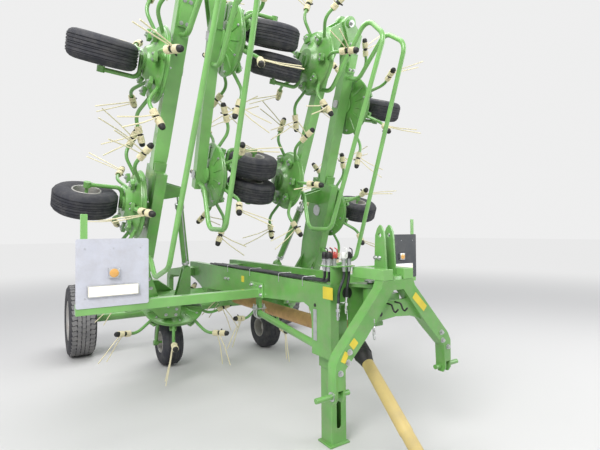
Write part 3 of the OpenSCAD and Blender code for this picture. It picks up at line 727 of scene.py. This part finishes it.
def road_rim(half):
    """Road rim with its dish, hub, six bolts and six rivets, its outer side up."""
    bm = bmesh.new()
    lathe(bm, [
        (BEAD, half - 0.034), (BEAD + 0.008, half - 0.022), (BEAD + 0.009, half - 0.014),
        (BEAD, half - 0.012), (BEAD - 0.01, half - 0.022), (BEAD - 0.016, half - 0.034),
        (BEAD - 0.016, 0.022), (BEAD - 0.04, 0.016), (0.15, 0.016), (0.125, 0.01), (0.105, 0.002),
        (0.066, -0.008), (0.064, 0.03), (0.058, 0.05), (0.044, 0.054), (0, 0.054)], 72)
    lathe(bm, [
        (BEAD - 0.016, 0.016), (BEAD - 0.014, 0.034 - half), (BEAD - 0.008, 0.022 - half),
        (BEAD + 0.008, 0.014 - half), (BEAD + 0.008, 0.022 - half), (BEAD, 0.034 - half)], 72)
    for spin in shares(6):
        bolt(bm, (0.088, 0, -0.003), UP, 0.011, 1, spin)
        rivet = Matrix.Translation(spin @ Vector((0.04, 0, 0.054)))
        bmesh.ops.create_uvsphere(bm, u_segments=8, v_segments=4, radius=0.004, matrix=rivet)
    return closed(bm, "pattern")


class TEDDER_OT_transport_wheels(bpy.types.Operator):
    """Builds the two road wheels with treaded tyres"""
    bl_idname = "tedder.transport_wheels"
    bl_label = "Transport wheels"

    def execute(self, context):
        for side, sign in SIDES.values():
            low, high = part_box("tyre_" + side)
            radius, half = (high.z - low.z) / 2, (high.x - low.x) / 2
            hub = Matrix.Translation(spot("transport_roll_" + side)) @ turned(sign * math.pi / 2, "Y")
            body = "transport_wheel_" + side
            copied("road_tyre_" + side, road_tyre(radius, half), hub, [rubber(), tread_face()], body,
                   ("tyre_" + side,))
            copied("road_rim_" + side, road_rim(half), hub, [rim_paint(), zinc()], body,
                   ("rim_" + side,))
        return {"FINISHED"}


# ---- steelwork ----
# (y, z) round an ear of the top link, from its hole
EAR = ((-0.05, -0.228), (0.046, -0.228), (0.042, -0.11), (0.036, 0.0), (0.02, 0.04), (0.0, 0.06),
       (-0.014, 0.05), (-0.03, 0.02), (-0.036, -0.02))
EAR_SIDES = ((-0.0425, -0.0295), (0.0295, 0.0425))
HOLE_RADIUS = 0.0127


def profile(bm, outline, low, high):
    """A flat outline of (y, z) points drawn out from low to high along X."""
    face = bm.faces.new([bm.verts.new((low, y, z)) for y, z in outline])
    made = bmesh.ops.extrude_face_region(bm, geom=[face])["geom"]
    verts = [v for v in made if isinstance(v, bmesh.types.BMVert)]
    bmesh.ops.translate(bm, vec=(high - low, 0, 0), verts=verts)


def carved(bm, shape, *values):
    """Takes a block or a peg, given with its values, out of a closed solid."""
    taken = bmesh.new()
    shape(taken, *values)
    pair = []
    for name, source in (("solid", bm), ("cutter", taken)):
        bmesh.ops.recalc_face_normals(source, faces=source.faces)
        mesh = bpy.data.meshes.new(name)
        source.to_mesh(mesh)
        pair.append(in_scene(name, mesh))
    taken.free()
    solid, cutter = pair
    cut = solid.modifiers.new("cut", "BOOLEAN")
    cut.operation, cut.solver, cut.object = "DIFFERENCE", "EXACT", cutter
    graph = bpy.context.evaluated_depsgraph_get()
    result = bpy.data.meshes.new_from_object(solid.evaluated_get(graph))
    bm.clear()
    bm.from_mesh(result)
    for helper in pair:
        mesh = helper.data
        bpy.data.objects.remove(helper)
        bpy.data.meshes.remove(mesh)
    bpy.data.meshes.remove(result)


def narrow_ears(bm):
    """Cuts the plain ears off the headstock and sets narrow pointed ones there, round the same hole."""
    hole = Vector(next(m["pos_m"] for m in frame["record"]["mounts"] if m["name"] == "top_link_hole"))
    swivel = spot("headstock_swivel")
    carved(bm, block, (-0.2, hole.y - 0.3, hole.z - 0.225), (0.2, hole.y + 0.3, hole.z + 0.3))
    # play round the swivel pin, so that the facets of pin and barrel stay apart when it turns
    carved(bm, peg, (swivel.x, swivel.y, 0.6), UP, 0.0292, 0.5, 64)
    ears = bmesh.new()
    for low, high in EAR_SIDES:
        profile(ears, [(hole.y + y, hole.z + z) for y, z in EAR], low, high)
    carved(ears, peg, hole + Vector((-0.1, 0, 0)), (1, 0, 0), HOLE_RADIUS, 0.2, 32)
    mesh = meshed(ears, "ears")
    bm.from_mesh(mesh)
    bpy.data.meshes.remove(mesh)


def open_front(bm):
    """Opens the window beside the swivel's lower plate, and cuts the right side plate's foot short."""
    carved(bm, block, (-0.1995, -2.23, 0.7), (-0.118, -2.1, 0.892), ground())
    carved(bm, block, (0.15, -2.25, 0.5), (0.3, -1.85, 0.785), ground())


class TEDDER_OT_steelwork(bpy.types.Operator):
    """Gives the frame, wings and linkage their rounded edges and paint"""
    bl_idname = "tedder.steelwork"
    bl_label = "Steelwork"

    def execute(self, context):
        dressed("headstock", green(), narrow_ears)
        dressed("main_frame", green(), open_front)
        for name in ("rotor_beam", "stand_sleeve", "stand_leg", "axle_frame", "middle_legs", "legs_left",
                     "legs_right", "barrel_left", "barrel_right", "root_left", "root_right"):
            dressed(name, green())
        # the top cover, board bar and wing beams take the lighter green: painted light on the same paint
        # where they catch the light
        for name in ("top_cover", "board_bar", "inner_left", "inner_right", "outer_left", "outer_right"):
            dressed(name, light_green())
        # the round bars and tubes stay as they are packed, with another finish; the hoops take the lighter
        # green, painted light on the same paint
        for name, material in (("hoops_left", light_green()), ("hoops_right", light_green()),
                               ("ram_left", chrome()), ("ram_right", chrome()), ("drive_tube", rust())):
            frame["nodes"][name].material_slots[0].material = material
        return {"FINISHED"}


# ---- boards ----
def board_sheet(side):
    """A blank board with rounded corners and a dark back, and the heads of its six rivets."""
    low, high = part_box("board_" + side)
    middle = (low + high) / 2
    bm = bmesh.new()
    block(bm, low, high)
    round_edges(bm, edges_along(bm.edges, Vector(AHEAD)), 0.012, 4)
    for face in bm.faces:
        face.material_index = 1 if face.calc_center_median().y > middle.y + 0.0005 else 0
    for x in (low.x + 0.05, middle.x, high.x - 0.05):
        for z in (low.z + 0.06, high.z - 0.06):
            peg(bm, (x, low.y + 0.001, z), AHEAD, 0.004, 0.0028, 10, 2)
    front = board_face() if side == "left" else board_back()
    shown("board_sheet_" + side, bm, [front, board_back(), zinc()], "frame",
          ("board_" + side,))


def board_lamps(side):
    """A board's long reflector in its holder, and the amber lamp above it."""
    low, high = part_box("board_" + side)
    foot = Matrix.Translation(((low.x + high.x) / 2, low.y, low.z))
    bm = bmesh.new()
    block(bm, (-0.15, -0.0135, 0.062), (0.15, -0.0005, 0.138), foot, 0.004)
    block(bm, (-0.142, -0.0142, 0.07), (0.142, -0.012, 0.13), foot, material=1)
    block(bm, (-0.032, -0.02, 0.175), (0.032, -0.0005, 0.239), foot, 0.004)
    lathe(bm, [(0.022, -0.0005), (0.027, 0.0), (0.025, 0.003), (0.018, 0.0055), (0, 0.006)], 24, 2,
          facing(foot @ Vector((0, -0.02, 0.207)), AHEAD))
    # the reflector glows though it is no lamp: painted light for its bright strip
    lenses = [lamp("reflector", (0.92, 0.88, 0.74), 0.3, 0.35), lamp("amber_lens", (0.8, 0.42, 0.1))]
    shown("board_lamps_" + side, bm, [zinc(), *lenses], "frame",
          ("reflectors",) if side == "left" else ())


class TEDDER_OT_boards(bpy.types.Operator):
    """Builds the blank warning boards with their lamps and reflectors"""
    bl_idname = "tedder.boards"
    bl_label = "Boards"

    def execute(self, context):
        for side, _ in SIDES.values():
            board_sheet(side)
            board_lamps(side)
        return {"FINISHED"}


# ---- small fittings ----
LINK_SIZE, LINK_WIRE = 0.026, 0.003
# of each bolt on a wing: place along it, half the width and the height there, and size
WING_BOLTS = (
    (3.075, 0.076, 0.133, 0.01), (3.075, 0.076, 0.177, 0.01), (3.225, 0.076, 0.133, 0.01),
    (3.225, 0.076, 0.177, 0.01), (3.45, 0.095, 0.269, 0.015), (3.285, 0.08, 0.221, 0.011),
    (0.93, 0.117, 0.235, 0.011), (1.02, 0.117, 0.205, 0.011), (1.9, 0.088, 0.155, 0.011))
# of each gear housing on a wing: its number, that of the wing half's first, its top and half its width
HOUSINGS = (("2", "2", 0.197, 0.07), ("3", "2", 0.21, 0.045), ("4", "4", 0.201, 0.045),
            ("5", "4", 0.2, 0.045))
# of each bolt on a side of the main frame: its place and size
FRAME_BOLTS = (
    (0.272, -1.355, 0.842, 0.011), (0.272, -1.355, 0.905, 0.011), (0.272, -1.2, 0.842, 0.011),
    (0.272, -1.2, 0.905, 0.011), (0.26, -1.28, 0.905, 0.01), (0.26, -1.22, 0.905, 0.01),
    (0.26, -0.73, 0.905, 0.01), (0.26, -0.67, 0.905, 0.01), (0.325, 0.19, 0.9, 0.016))
# x of the post's outer face, and y of the headstock's front face
POST_FACE, HEAD_FACE = -0.2602, -2.479


def chain(bm, start, end):
    """Links laid end to end along a line, each turned a quarter against the last."""
    span = end - start
    turn = Vector((1, 0, 0)).rotation_difference(span.normalized()).to_matrix().to_4x4()
    count = max(1, round(span.length / (LINK_SIZE * 0.78)))
    loop = []
    for i in range(11):
        c, s = math.cos(FULL * i / 10), math.sin(FULL * i / 10)
        loop.append((LINK_SIZE * 0.25 * (math.copysign(1, c) + c), LINK_SIZE * 0.27 * s, 0))
    for k in range(count):
        at = Matrix.Translation(start.lerp(end, (k + 0.5) / count)) @ turn
        sweep(bm, loop, LINK_WIRE, 5, at=at @ turned(math.pi / 2 * (k % 2), "X"))


def wing_bolts(side, s):
    """A wing's bolts, the caps of its outer hinge, and the lids of its gear housings."""
    bm = bmesh.new()
    near = bench(side[0] + "2")
    for e in (-1, 1):
        peg(bm, (s * 3.45, e * 0.09, 0.269), (0, e, 0), 0.03, 0.006, 20, at=near)
        for x, y, z, size in WING_BOLTS:
            bolt(bm, (s * x, e * y, z), (0, e, 0), size, at=near)
    for number, first, top, half in HOUSINGS:
        at = bench(side[0] + first) @ Matrix.Translation((reach_of(side[0] + number), 0, top))
        peg(bm, (0, 0, 0), UP, half * 0.8, 0.008, 24, at=at)
        for spin in shares(4, 0.5):
            bolt(bm, (half * 0.75, 0, 0), UP, 0.007, at=at @ spin)
    shown("wing_bolts_" + side, bm, [zinc()], "wing_" + side)


def middle_bolts():
    """The caps of the wings' main hinges, and the bolts of the ears that carry them."""
    bm = bmesh.new()
    line = bench("l1")
    for _, s in SIDES.values():
        for e in (-1, 1):
            peg(bm, (s * 0.805, e * 0.1645 - 0.08, 0.272), (0, e, 0), 0.034, 0.007, 20, at=line)
            bolt(bm, (s * 0.805, e * 0.171 - 0.08, 0.272), (0, e, 0), 0.017, at=line)
            for x, z in ((0.6, 0.19), (0.68, 0.23), (0.6, 0.13), (0.69, 0.14)):
                bolt(bm, (s * x, e * 0.165 - 0.08, z), (0, e, 0), 0.01, at=line)
    shown("middle_bolts", bm, [zinc()], "frame")


class TEDDER_OT_wing_fittings(bpy.types.Operator):
    """Adds the bolts and caps of the wings' hinges and gear housings"""
    bl_idname = "tedder.wing_fittings"
    bl_label = "Wing fittings"

    def execute(self, context):
        for side, s in SIDES.values():
            wing_bolts(side, s)
        middle_bolts()
        return {"FINISHED"}


def strut_clamps(bm):
    """Two bows with nuts that hold the lower strut, and the plate on them."""
    under = [math.pi * (1 + k / 8) for k in range(9)]
    for y in (-1.262, -1.225):
        bow = [on_frame(-0.23 + 0.034 * math.cos(t), y, 0.683 + 0.034 * math.sin(t)) for t in under]
        sweep(bm, bow, 0.006)
        for x in (-0.264, -0.196):
            sweep(bm, [on_frame(x, y, 0.683), on_frame(x, y, 0.755)], 0.006)
            peg(bm, on_frame(x, y, 0.728), UP, 0.012, 0.01)
    plate(bm, facing(on_frame(-0.23, -1.243, 0.718), UP, (0, 1, 0)), 0.1, 0.066, 0.008)


class TEDDER_OT_frame_fittings(bpy.types.Operator):
    """Adds bolts, clamps, plates, a black cap and blank labels to the main frame"""
    bl_idname = "tedder.frame_fittings"
    bl_label = "Frame fittings"

    def execute(self, context):
        bm = bmesh.new()
        for s in (-1, 1):
            for x, y, z, size in FRAME_BOLTS:
                bolt(bm, on_frame(s * x, y, z), (s, 0, 0), size)
            peg(bm, on_frame(s * 0.315, 0.19, 0.9), (s, 0, 0), 0.034, 0.012, 20)
        # slider plate on the post's outer face, and a thin black disc on it: painted shade where a hole is
        plate(bm, facing(on_frame(POST_FACE, -2.035, 0.742), LEFTWARDS), 0.036, 0.19, 0.002, 0.003)
        peg(bm, on_frame(POST_FACE, -2.035, 0.862), LEFTWARDS, 0.011, 0.002, 16, 1)
        strut_clamps(bm)
        lathe(bm, [(0.036, 0.0), (0.036, 0.004), (0.031, 0.007), (0, 0.0075)], 28, 1,
              facing(on_frame(-0.135, -2.1905, 0.944), AHEAD))
        shown("frame_bolts", bm, [zinc(), black_cap()], "frame")
        bm = bmesh.new()
        plate(bm, facing(on_frame(POST_FACE, -2.165, 0.95), LEFTWARDS), 0.095, 0.072)
        plate(bm, facing(on_frame(POST_FACE, -1.02, 0.93), LEFTWARDS), 0.05, 0.05)
        shown("frame_labels", bm, [label()], "frame")
        return {"FINISHED"}


class TEDDER_OT_headstock_fittings(bpy.types.Operator):
    """Adds bolts, hooks, blank labels, a chain and pin collars to the headstock"""
    bl_idname = "tedder.headstock_fittings"
    bl_label = "Headstock fittings"

    def execute(self, context):
        bm = bmesh.new()
        for s in (-1, 1):
            for x, z in ((0.364, 0.697), (0.374, 0.647), (0.425, 0.6)):
                bolt(bm, on_frame(s * x, HEAD_FACE, z), AHEAD, 0.011)
            for y in (-2.373, -2.341):
                bolt(bm, on_frame(s * 0.043, y, 1.16), (s, 0, 0), 0.009)
            peg(bm, on_frame(s * 0.452, -2.445, 0.48), (s, 0, 0), 0.024, 0.006, 20)
        chain(bm, on_frame(-0.19, -2.472, 0.845), on_frame(-0.186, -2.474, 0.735))
        peg(bm, on_frame(0, SWIVEL_Y, 1.008), UP, 0.044, 0.01, 24)
        for x in (-0.08, -0.008):
            hook = [(x, -2.455, 0.915), (x, -2.5, 0.912), (x + 0.004, -2.508, 0.885),
                    (x + 0.006, -2.52, 0.87), (x + 0.008, -2.54, 0.892)]
            sweep(bm, rounded(hook, 0.012, 4), 0.005, 8, 1, ground())
        peg(bm, on_frame(-0.13, -2.4655, 0.862), AHEAD, 0.014, 0.002, 16, 1)
        shown("headstock_bolts", bm, [zinc(), black_cap()], "headstock")
        bm = bmesh.new()
        for x, z, slope, width, height in ((0.172, 0.9, -43, 0.13, 0.042), (-0.335, 0.735, 43, 0.045, 0.042),
                                           (-0.395, 0.675, 60, 0.055, 0.032)):
            at = facing(on_frame(x, HEAD_FACE, z), AHEAD) @ turned(math.radians(slope))
            plate(bm, at, width, height)
        shown("headstock_labels", bm, [label()], "headstock")
        return {"FINISHED"}


class TEDDER_OT_drive_line(bpy.types.Operator):
    """Builds the guarded drive shaft with its ribbed bell"""
    bl_idname = "tedder.drive_line"
    bl_label = "Drive line"

    def execute(self, context):
        start, end = spot("shaft_lift"), on_frame(-0.39, -3.3, 0.036)
        length = (end - start).length
        at = along_z((end - start).normalized(), start)
        bm = bmesh.new()
        lathe(bm, [
            (0.03, 0.1), (0.0355, 0.115), (0.0355, 0.62), (0.033, 0.625), (0.0325, 0.64), (0.033, 0.655),
            (0.0335, length - 0.06), (0.0355, length - 0.055), (0.0355, length - 0.001),
            (0.028, length)], 32, at=at)
        lathe(bm, [(0.028, length), (0.027, length - 0.03), (0, length - 0.03)], 32, 1, at)
        shown("shaft_guard", bm, [guard_yellow(), black_cap()], "shaft", ("drive_shaft",))
        bell = [(0.02, -0.03), (0.045, -0.02), (0.0545, 0.000)]
        for rib in (0.018 * k for k in range(5)):
            bell += [(0.055, 0.006 + rib), (0.0555, 0.012 + rib), (0.049, 0.017 + rib), (0.049, 0.021 + rib)]
        bell += [(0.05, 0.1), (0.043, 0.125), (0.0375, 0.15), (0.0355, 0.155)]
        bm = bmesh.new()
        lathe(bm, bell, 36, at=at)
        shown("shaft_bell", bm, [black_cap()], "shaft")
        return {"FINISHED"}


# ---- hydraulics ----
HOSE_RADIUS = 0.0085
# of each parked coupler, four on the left beam and two over the front edge: its place, and its colour as
# the number of a material of the rack
PARKED = ((-0.246, -2.162, 3), (-0.209, -2.162, 2), (-0.246, -2.118, 3), (-0.209, -2.118, 2),
          (-0.181, -2.22, 4), (-0.143, -2.22, 3))
COUPLER = [
    (0.0085, -0.014), (0.012, -0.012), (0.012, 0.004), (0.0155, 0.006), (0.0155, 0.022), (0.013, 0.024),
    (0.013, 0.052), (0.0165, 0.054), (0.0165, 0.066), (0, 0.066)]
COUPLER_CAP = [(0.0155, 0.058), (0.0165, 0.06), (0.0165, 0.086), (0.014, 0.098), (0.009, 0.103), (0, 0.104)]
HANDLE = [(0, -0.015, 0.066), (0, -0.03, 0.07), (0, -0.03, 0.118), (0, -0.006, 0.126)]
FERRULE = [(0.0088, -0.02), (0.0115, -0.018), (0.0115, 0.01), (0.0088, 0.012), (0.0088, 0.016)]
PLUG = [
    (0, 0.028), (0.0095, 0.028), (0.0095, 0.044), (0.0118, 0.046), (0.0118, 0.056), (0.0085, 0.06),
    (0.0085, 0.074), (0.005, 0.078), (0, 0.078)]
# the barrel's gland and its foot collar, and the pipe between its two ports
GLAND = [(0.0322, 0.615), (0.0385, 0.618), (0.0388, 0.652), (0.032, 0.656), (0.0205, 0.656)]
COLLAR = [(0.0322, 0.052), (0.0345, 0.054), (0.0345, 0.075), (0.0322, 0.078)]
PIPE = [(0, -0.046, 0.6), (0, -0.049, 0.585), (0, -0.049, 0.12), (0, -0.046, 0.1)]


def strapped_hoses():
    """Four hoses strapped along the left beam, which turn up into the couplers on the rack."""
    bm = bmesh.new()
    for k, (end_x, end_y, _) in enumerate(PARKED[:4]):
        x, z = -0.246 + 0.0185 * k, 1.0125 + 0.002 * (k % 2)
        path = [(x, -0.28 - 0.05 * k, z)]
        path += [(x + 0.005 * math.sin(2.1 * j + k), -0.5 - 0.25 * j, z) for j in range(6)]
        path += [(x, -1.82, z), (end_x, -1.94, z + 0.001), (end_x, end_y, z + 0.003), (end_x, end_y, 1.1)]
        sweep(bm, rounded(path, 0.07), HOSE_RADIUS, at=ground())
    shown("frame_hoses", bm, [hose_skin()], "frame")


def coupler_rack():
    """The rack with six parked couplers, each with its coloured cap and handle."""
    bm = bmesh.new()
    for low, high in (((-0.256, -2.19, 1.000), (-0.124, -2.184, 1.112)),
                      ((-0.268, -2.184, 1.106), (-0.192, -2.085, 1.112)),
                      ((-0.256, -2.246, 1.106), (-0.118, -2.18, 1.112))):
        block(bm, low, high, ground(), 0.0015)
    for x, y, colour in PARKED:
        at = Matrix.Translation(on_frame(x, y, 1.09))
        lathe(bm, COUPLER, 20, 1, at)
        lathe(bm, COUPLER_CAP, 20, colour, at)
        sweep(bm, rounded(HANDLE, 0.012, 4), 0.0035, 6, colour, at)
    red, white = lamp("red_handle", (0.55, 0.035, 0.02), 0.35), lamp("white_handle", (0.8, 0.8, 0.76), 0.35)
    shown("coupler_rack", bm, [green(), zinc(), red, black_cap(), white], "frame")


def hanging_hose(name, x, y, drop):
    """A tractor hose that hangs from a front coupler with its plug down, a cord on its own."""
    route = rounded([
        on_frame(x, y, 1.078), on_frame(x, y, 1.045),
        on_frame(x - 0.052 + 0.8 * drop, y - 0.014, 0.965 + 0.5 * drop),
        on_frame(x - 0.06 + 0.8 * drop, y - 0.018, 0.88 + drop)], 0.095, 8)
    # its straight ends in three steps each
    first = [route[0].lerp(route[1], k / 3) for k in range(3)]
    route = first + route[1:-1] + [route[-2].lerp(route[-1], k / 3) for k in range(1, 4)]
    bm = bmesh.new()
    sweep(bm, route, HOSE_RADIUS, 10)
    hose = shown(name, bm, [hose_skin()], "frame")
    at = along_z((route[-1] - route[-2]).normalized(), route[-1])
    bm = bmesh.new()
    lathe(bm, FERRULE, 16, at=at)
    peg(bm, (0, 0, 0.014), UP, 0.0135, 0.016, at=at)
    lathe(bm, PLUG, 16, at=at)
    plug = shown(name + "_plug", bm, [chrome()], "frame")


def hose_straps():
    """Four wire straps over the hoses on the left beam."""
    bm = bmesh.new()
    for y in (-0.72, -1.15, -1.6, -1.9):
        strap = [(-0.262, y, 0.965), (-0.262, y, 1.024), (-0.158, y, 1.024), (-0.158, y, 1.004)]
        sweep(bm, rounded(strap, 0.01, 3), 0.0025, 6, at=ground())
    shown("hose_straps", bm, [zinc()], "frame")


def cylinder_fittings(side):
    """Gland, foot collar, ports and pipe of a folding cylinder's barrel."""
    at = along_z(aim("ram_slide_" + side), spot("barrel_swing_" + side))
    bm = bmesh.new()
    lathe(bm, GLAND, 32, at=at)
    lathe(bm, COLLAR, 32, at=at)
    for z in (0.09, 0.6):
        peg(bm, (0, -0.03, z), AHEAD, 0.013, 0.022, at=at)
    sweep(bm, rounded(PIPE, 0.012, 4), 0.006, at=at)
    shown("cylinder_fittings_" + side, bm, [zinc()], "barrel_" + side)


class TEDDER_OT_hydraulics(bpy.types.Operator):
    """Adds the hoses, the couplers with their handles and the cylinders' fittings"""
    bl_idname = "tedder.hydraulics"
    bl_label = "Hydraulics"

    def execute(self, context):
        strapped_hoses()
        coupler_rack()
        hanging_hose("hanging_hose_left", *PARKED[4][:2], 0.0)
        hanging_hose("hanging_hose_right", *PARKED[5][:2], 0.03)
        hose_straps()
        for side, _ in SIDES.values():
            cylinder_fittings(side)
        return {"FINISHED"}


# ---- stage ----
# distances from the middle between which the floor fades out
FADE = (2.5, 13.0)
# of each lamp: its name, place, size and power
LAMPS = (("key", (-4.5, -3.5, 5.5), 3.5, 420), ("fill", (4.5, -4.0, 3.5), 4.0, 180),
         ("top", (0, 1.0, 7.0), 5.0, 260))
# the camera fitted to the photograph: place from the swivel (its height from the floor), lens in mm,
# and heading, pitch and roll in degrees
EYE_X, EYE_Y, EYE_Z = -1.738, -1.837, 1.315
LENS = 24.684
EYE_TURN = (-33.6, 0.91, -0.44)


def blended(tree, share, first, second, output):
    """Sends two shaders, mixed by a share, to a tree's output."""
    fill(tree.nodes[output], Surface=node(tree, "ShaderNodeMixShader", share, first, second)["Shader"])


def pale_floor():
    """A floor that runs, for the camera, into the pale background far off."""
    material = bpy.data.materials.new("floor_pale")
    material.use_nodes = True
    t = material.node_tree
    surface = t.nodes["Principled BSDF"]
    fill(surface, Base_Color=(0.62, 0.61, 0.6, 1), Roughness=0.9)
    distance = node(t, "ShaderNodeVectorMath", node(t, "ShaderNodeTexCoord")["Object"], operation="LENGTH")
    far = node(t, "ShaderNodeMapRange", interpolation_type="SMOOTHSTEP", Value=distance["Value"],
               From_Min=FADE[0], From_Max=FADE[1])["Result"]
    seen = node(t, "ShaderNodeLightPath")["Is Camera Ray"]
    share = node(t, "ShaderNodeMath", far, seen, operation="MULTIPLY")[0]
    pale = node(t, "ShaderNodeEmission", Color=(0.82, 0.82, 0.82, 1), Strength=1.0)["Emission"]
    blended(t, share, surface.outputs["BSDF"], pale, "Material Output")
    bm = bmesh.new()
    bmesh.ops.create_grid(bm, x_segments=1, y_segments=1, size=60)
    mesh = meshed(bm, "floor")
    mesh.materials.append(material)
    floor = in_scene("floor", mesh)


def studio_world():
    """Soft light from all round, which the camera, glass and gloss see as plain grey."""
    world = bpy.context.scene.world = bpy.data.worlds.new("studio")
    world.use_nodes = True
    t = world.node_tree
    sky = t.nodes["Background"]
    fill(sky, Color=(0.86, 0.9, 0.96, 1), Strength=0.55)
    plain = node(t, "ShaderNodeBackground", Color=(0.86, 0.86, 0.86, 1), Strength=1.0)["Background"]
    rays = node(t, "ShaderNodeLightPath")
    seen = rays["Is Camera Ray"]
    for kind in ("Is Transmission Ray", "Is Glossy Ray"):
        seen = node(t, "ShaderNodeMath", seen, rays[kind], operation="MAXIMUM")[0]
    blended(t, seen, sky.outputs["Background"], plain, "World Output")


def studio_lamps():
    """Area lamps that face the middle of the machine."""
    middle = (CAD_LOW + CAD_HIGH) / 2
    for name, place, size, power in LAMPS:
        data = bpy.data.lights.new(name, "AREA")
        data.size = size
        data.energy = power
        light = in_scene(name, data)
        light.location = place
        light.rotation_euler = (middle - Vector(place)).to_track_quat("-Z", "Y").to_euler()


def photo_camera():
    data = bpy.data.cameras.new("camera")
    data.sensor_width = 36
    data.lens = LENS
    data.clip_end = 200
    eye = bpy.context.scene.camera = in_scene("camera", data)
    heading, pitch, roll = (math.radians(angle) for angle in EYE_TURN)
    eye.matrix_world = (Matrix.Translation((EYE_X, spot("headstock_swivel").y + EYE_Y, EYE_Z))
                        @ turned(heading) @ turned(math.pi / 2 + pitch, "X") @ turned(roll))


class TEDDER_OT_stage(bpy.types.Operator):
    """Sets the pale floor, the soft studio light and the camera"""
    bl_idname = "tedder.stage"
    bl_label = "Stage"

    def execute(self, context):
        pale_floor()
        studio_world()
        studio_lamps()
        photo_camera()
        context.scene.view_settings.view_transform = "Standard"
        return {"FINISHED"}


class TEDDER_PT_panel(bpy.types.Panel):
    bl_label = "Hay tedder"
    bl_idname = "TEDDER_PT_panel"
    bl_space_type = "VIEW_3D"
    bl_region_type = "UI"
    bl_category = "Tedder"

    def draw(self, context):
        for group in (context.scene.tedder_sizes, context.scene.tedder_colours):
            for key in group.__annotations__:
                self.layout.prop(group, key)
        for operator in OPERATORS:
            self.layout.operator(operator.bl_idname)


OPERATORS = [
    TEDDER_OT_stage, TEDDER_OT_steelwork, TEDDER_OT_rotors, TEDDER_OT_small_wheels,
    TEDDER_OT_transport_wheels, TEDDER_OT_boards, TEDDER_OT_wing_fittings, TEDDER_OT_frame_fittings,
    TEDDER_OT_headstock_fittings, TEDDER_OT_drive_line, TEDDER_OT_hydraulics]
CLASSES = [TedderSizes, TedderColours, *OPERATORS, TEDDER_PT_panel]


def register():
    for c in CLASSES:
        bpy.utils.register_class(c)
    bpy.types.Scene.tedder_sizes = bpy.props.PointerProperty(type=TedderSizes)
    bpy.types.Scene.tedder_colours = bpy.props.PointerProperty(type=TedderColours)


def unregister():
    del bpy.types.Scene.tedder_sizes
    del bpy.types.Scene.tedder_colours
    for c in reversed(CLASSES):
        bpy.utils.unregister_class(c)


def main():
    register()
    for operator in OPERATORS:
        group, name = operator.bl_idname.split(".")
        getattr(getattr(bpy.ops, group), name)()


if __name__ == "__main__":
    main()
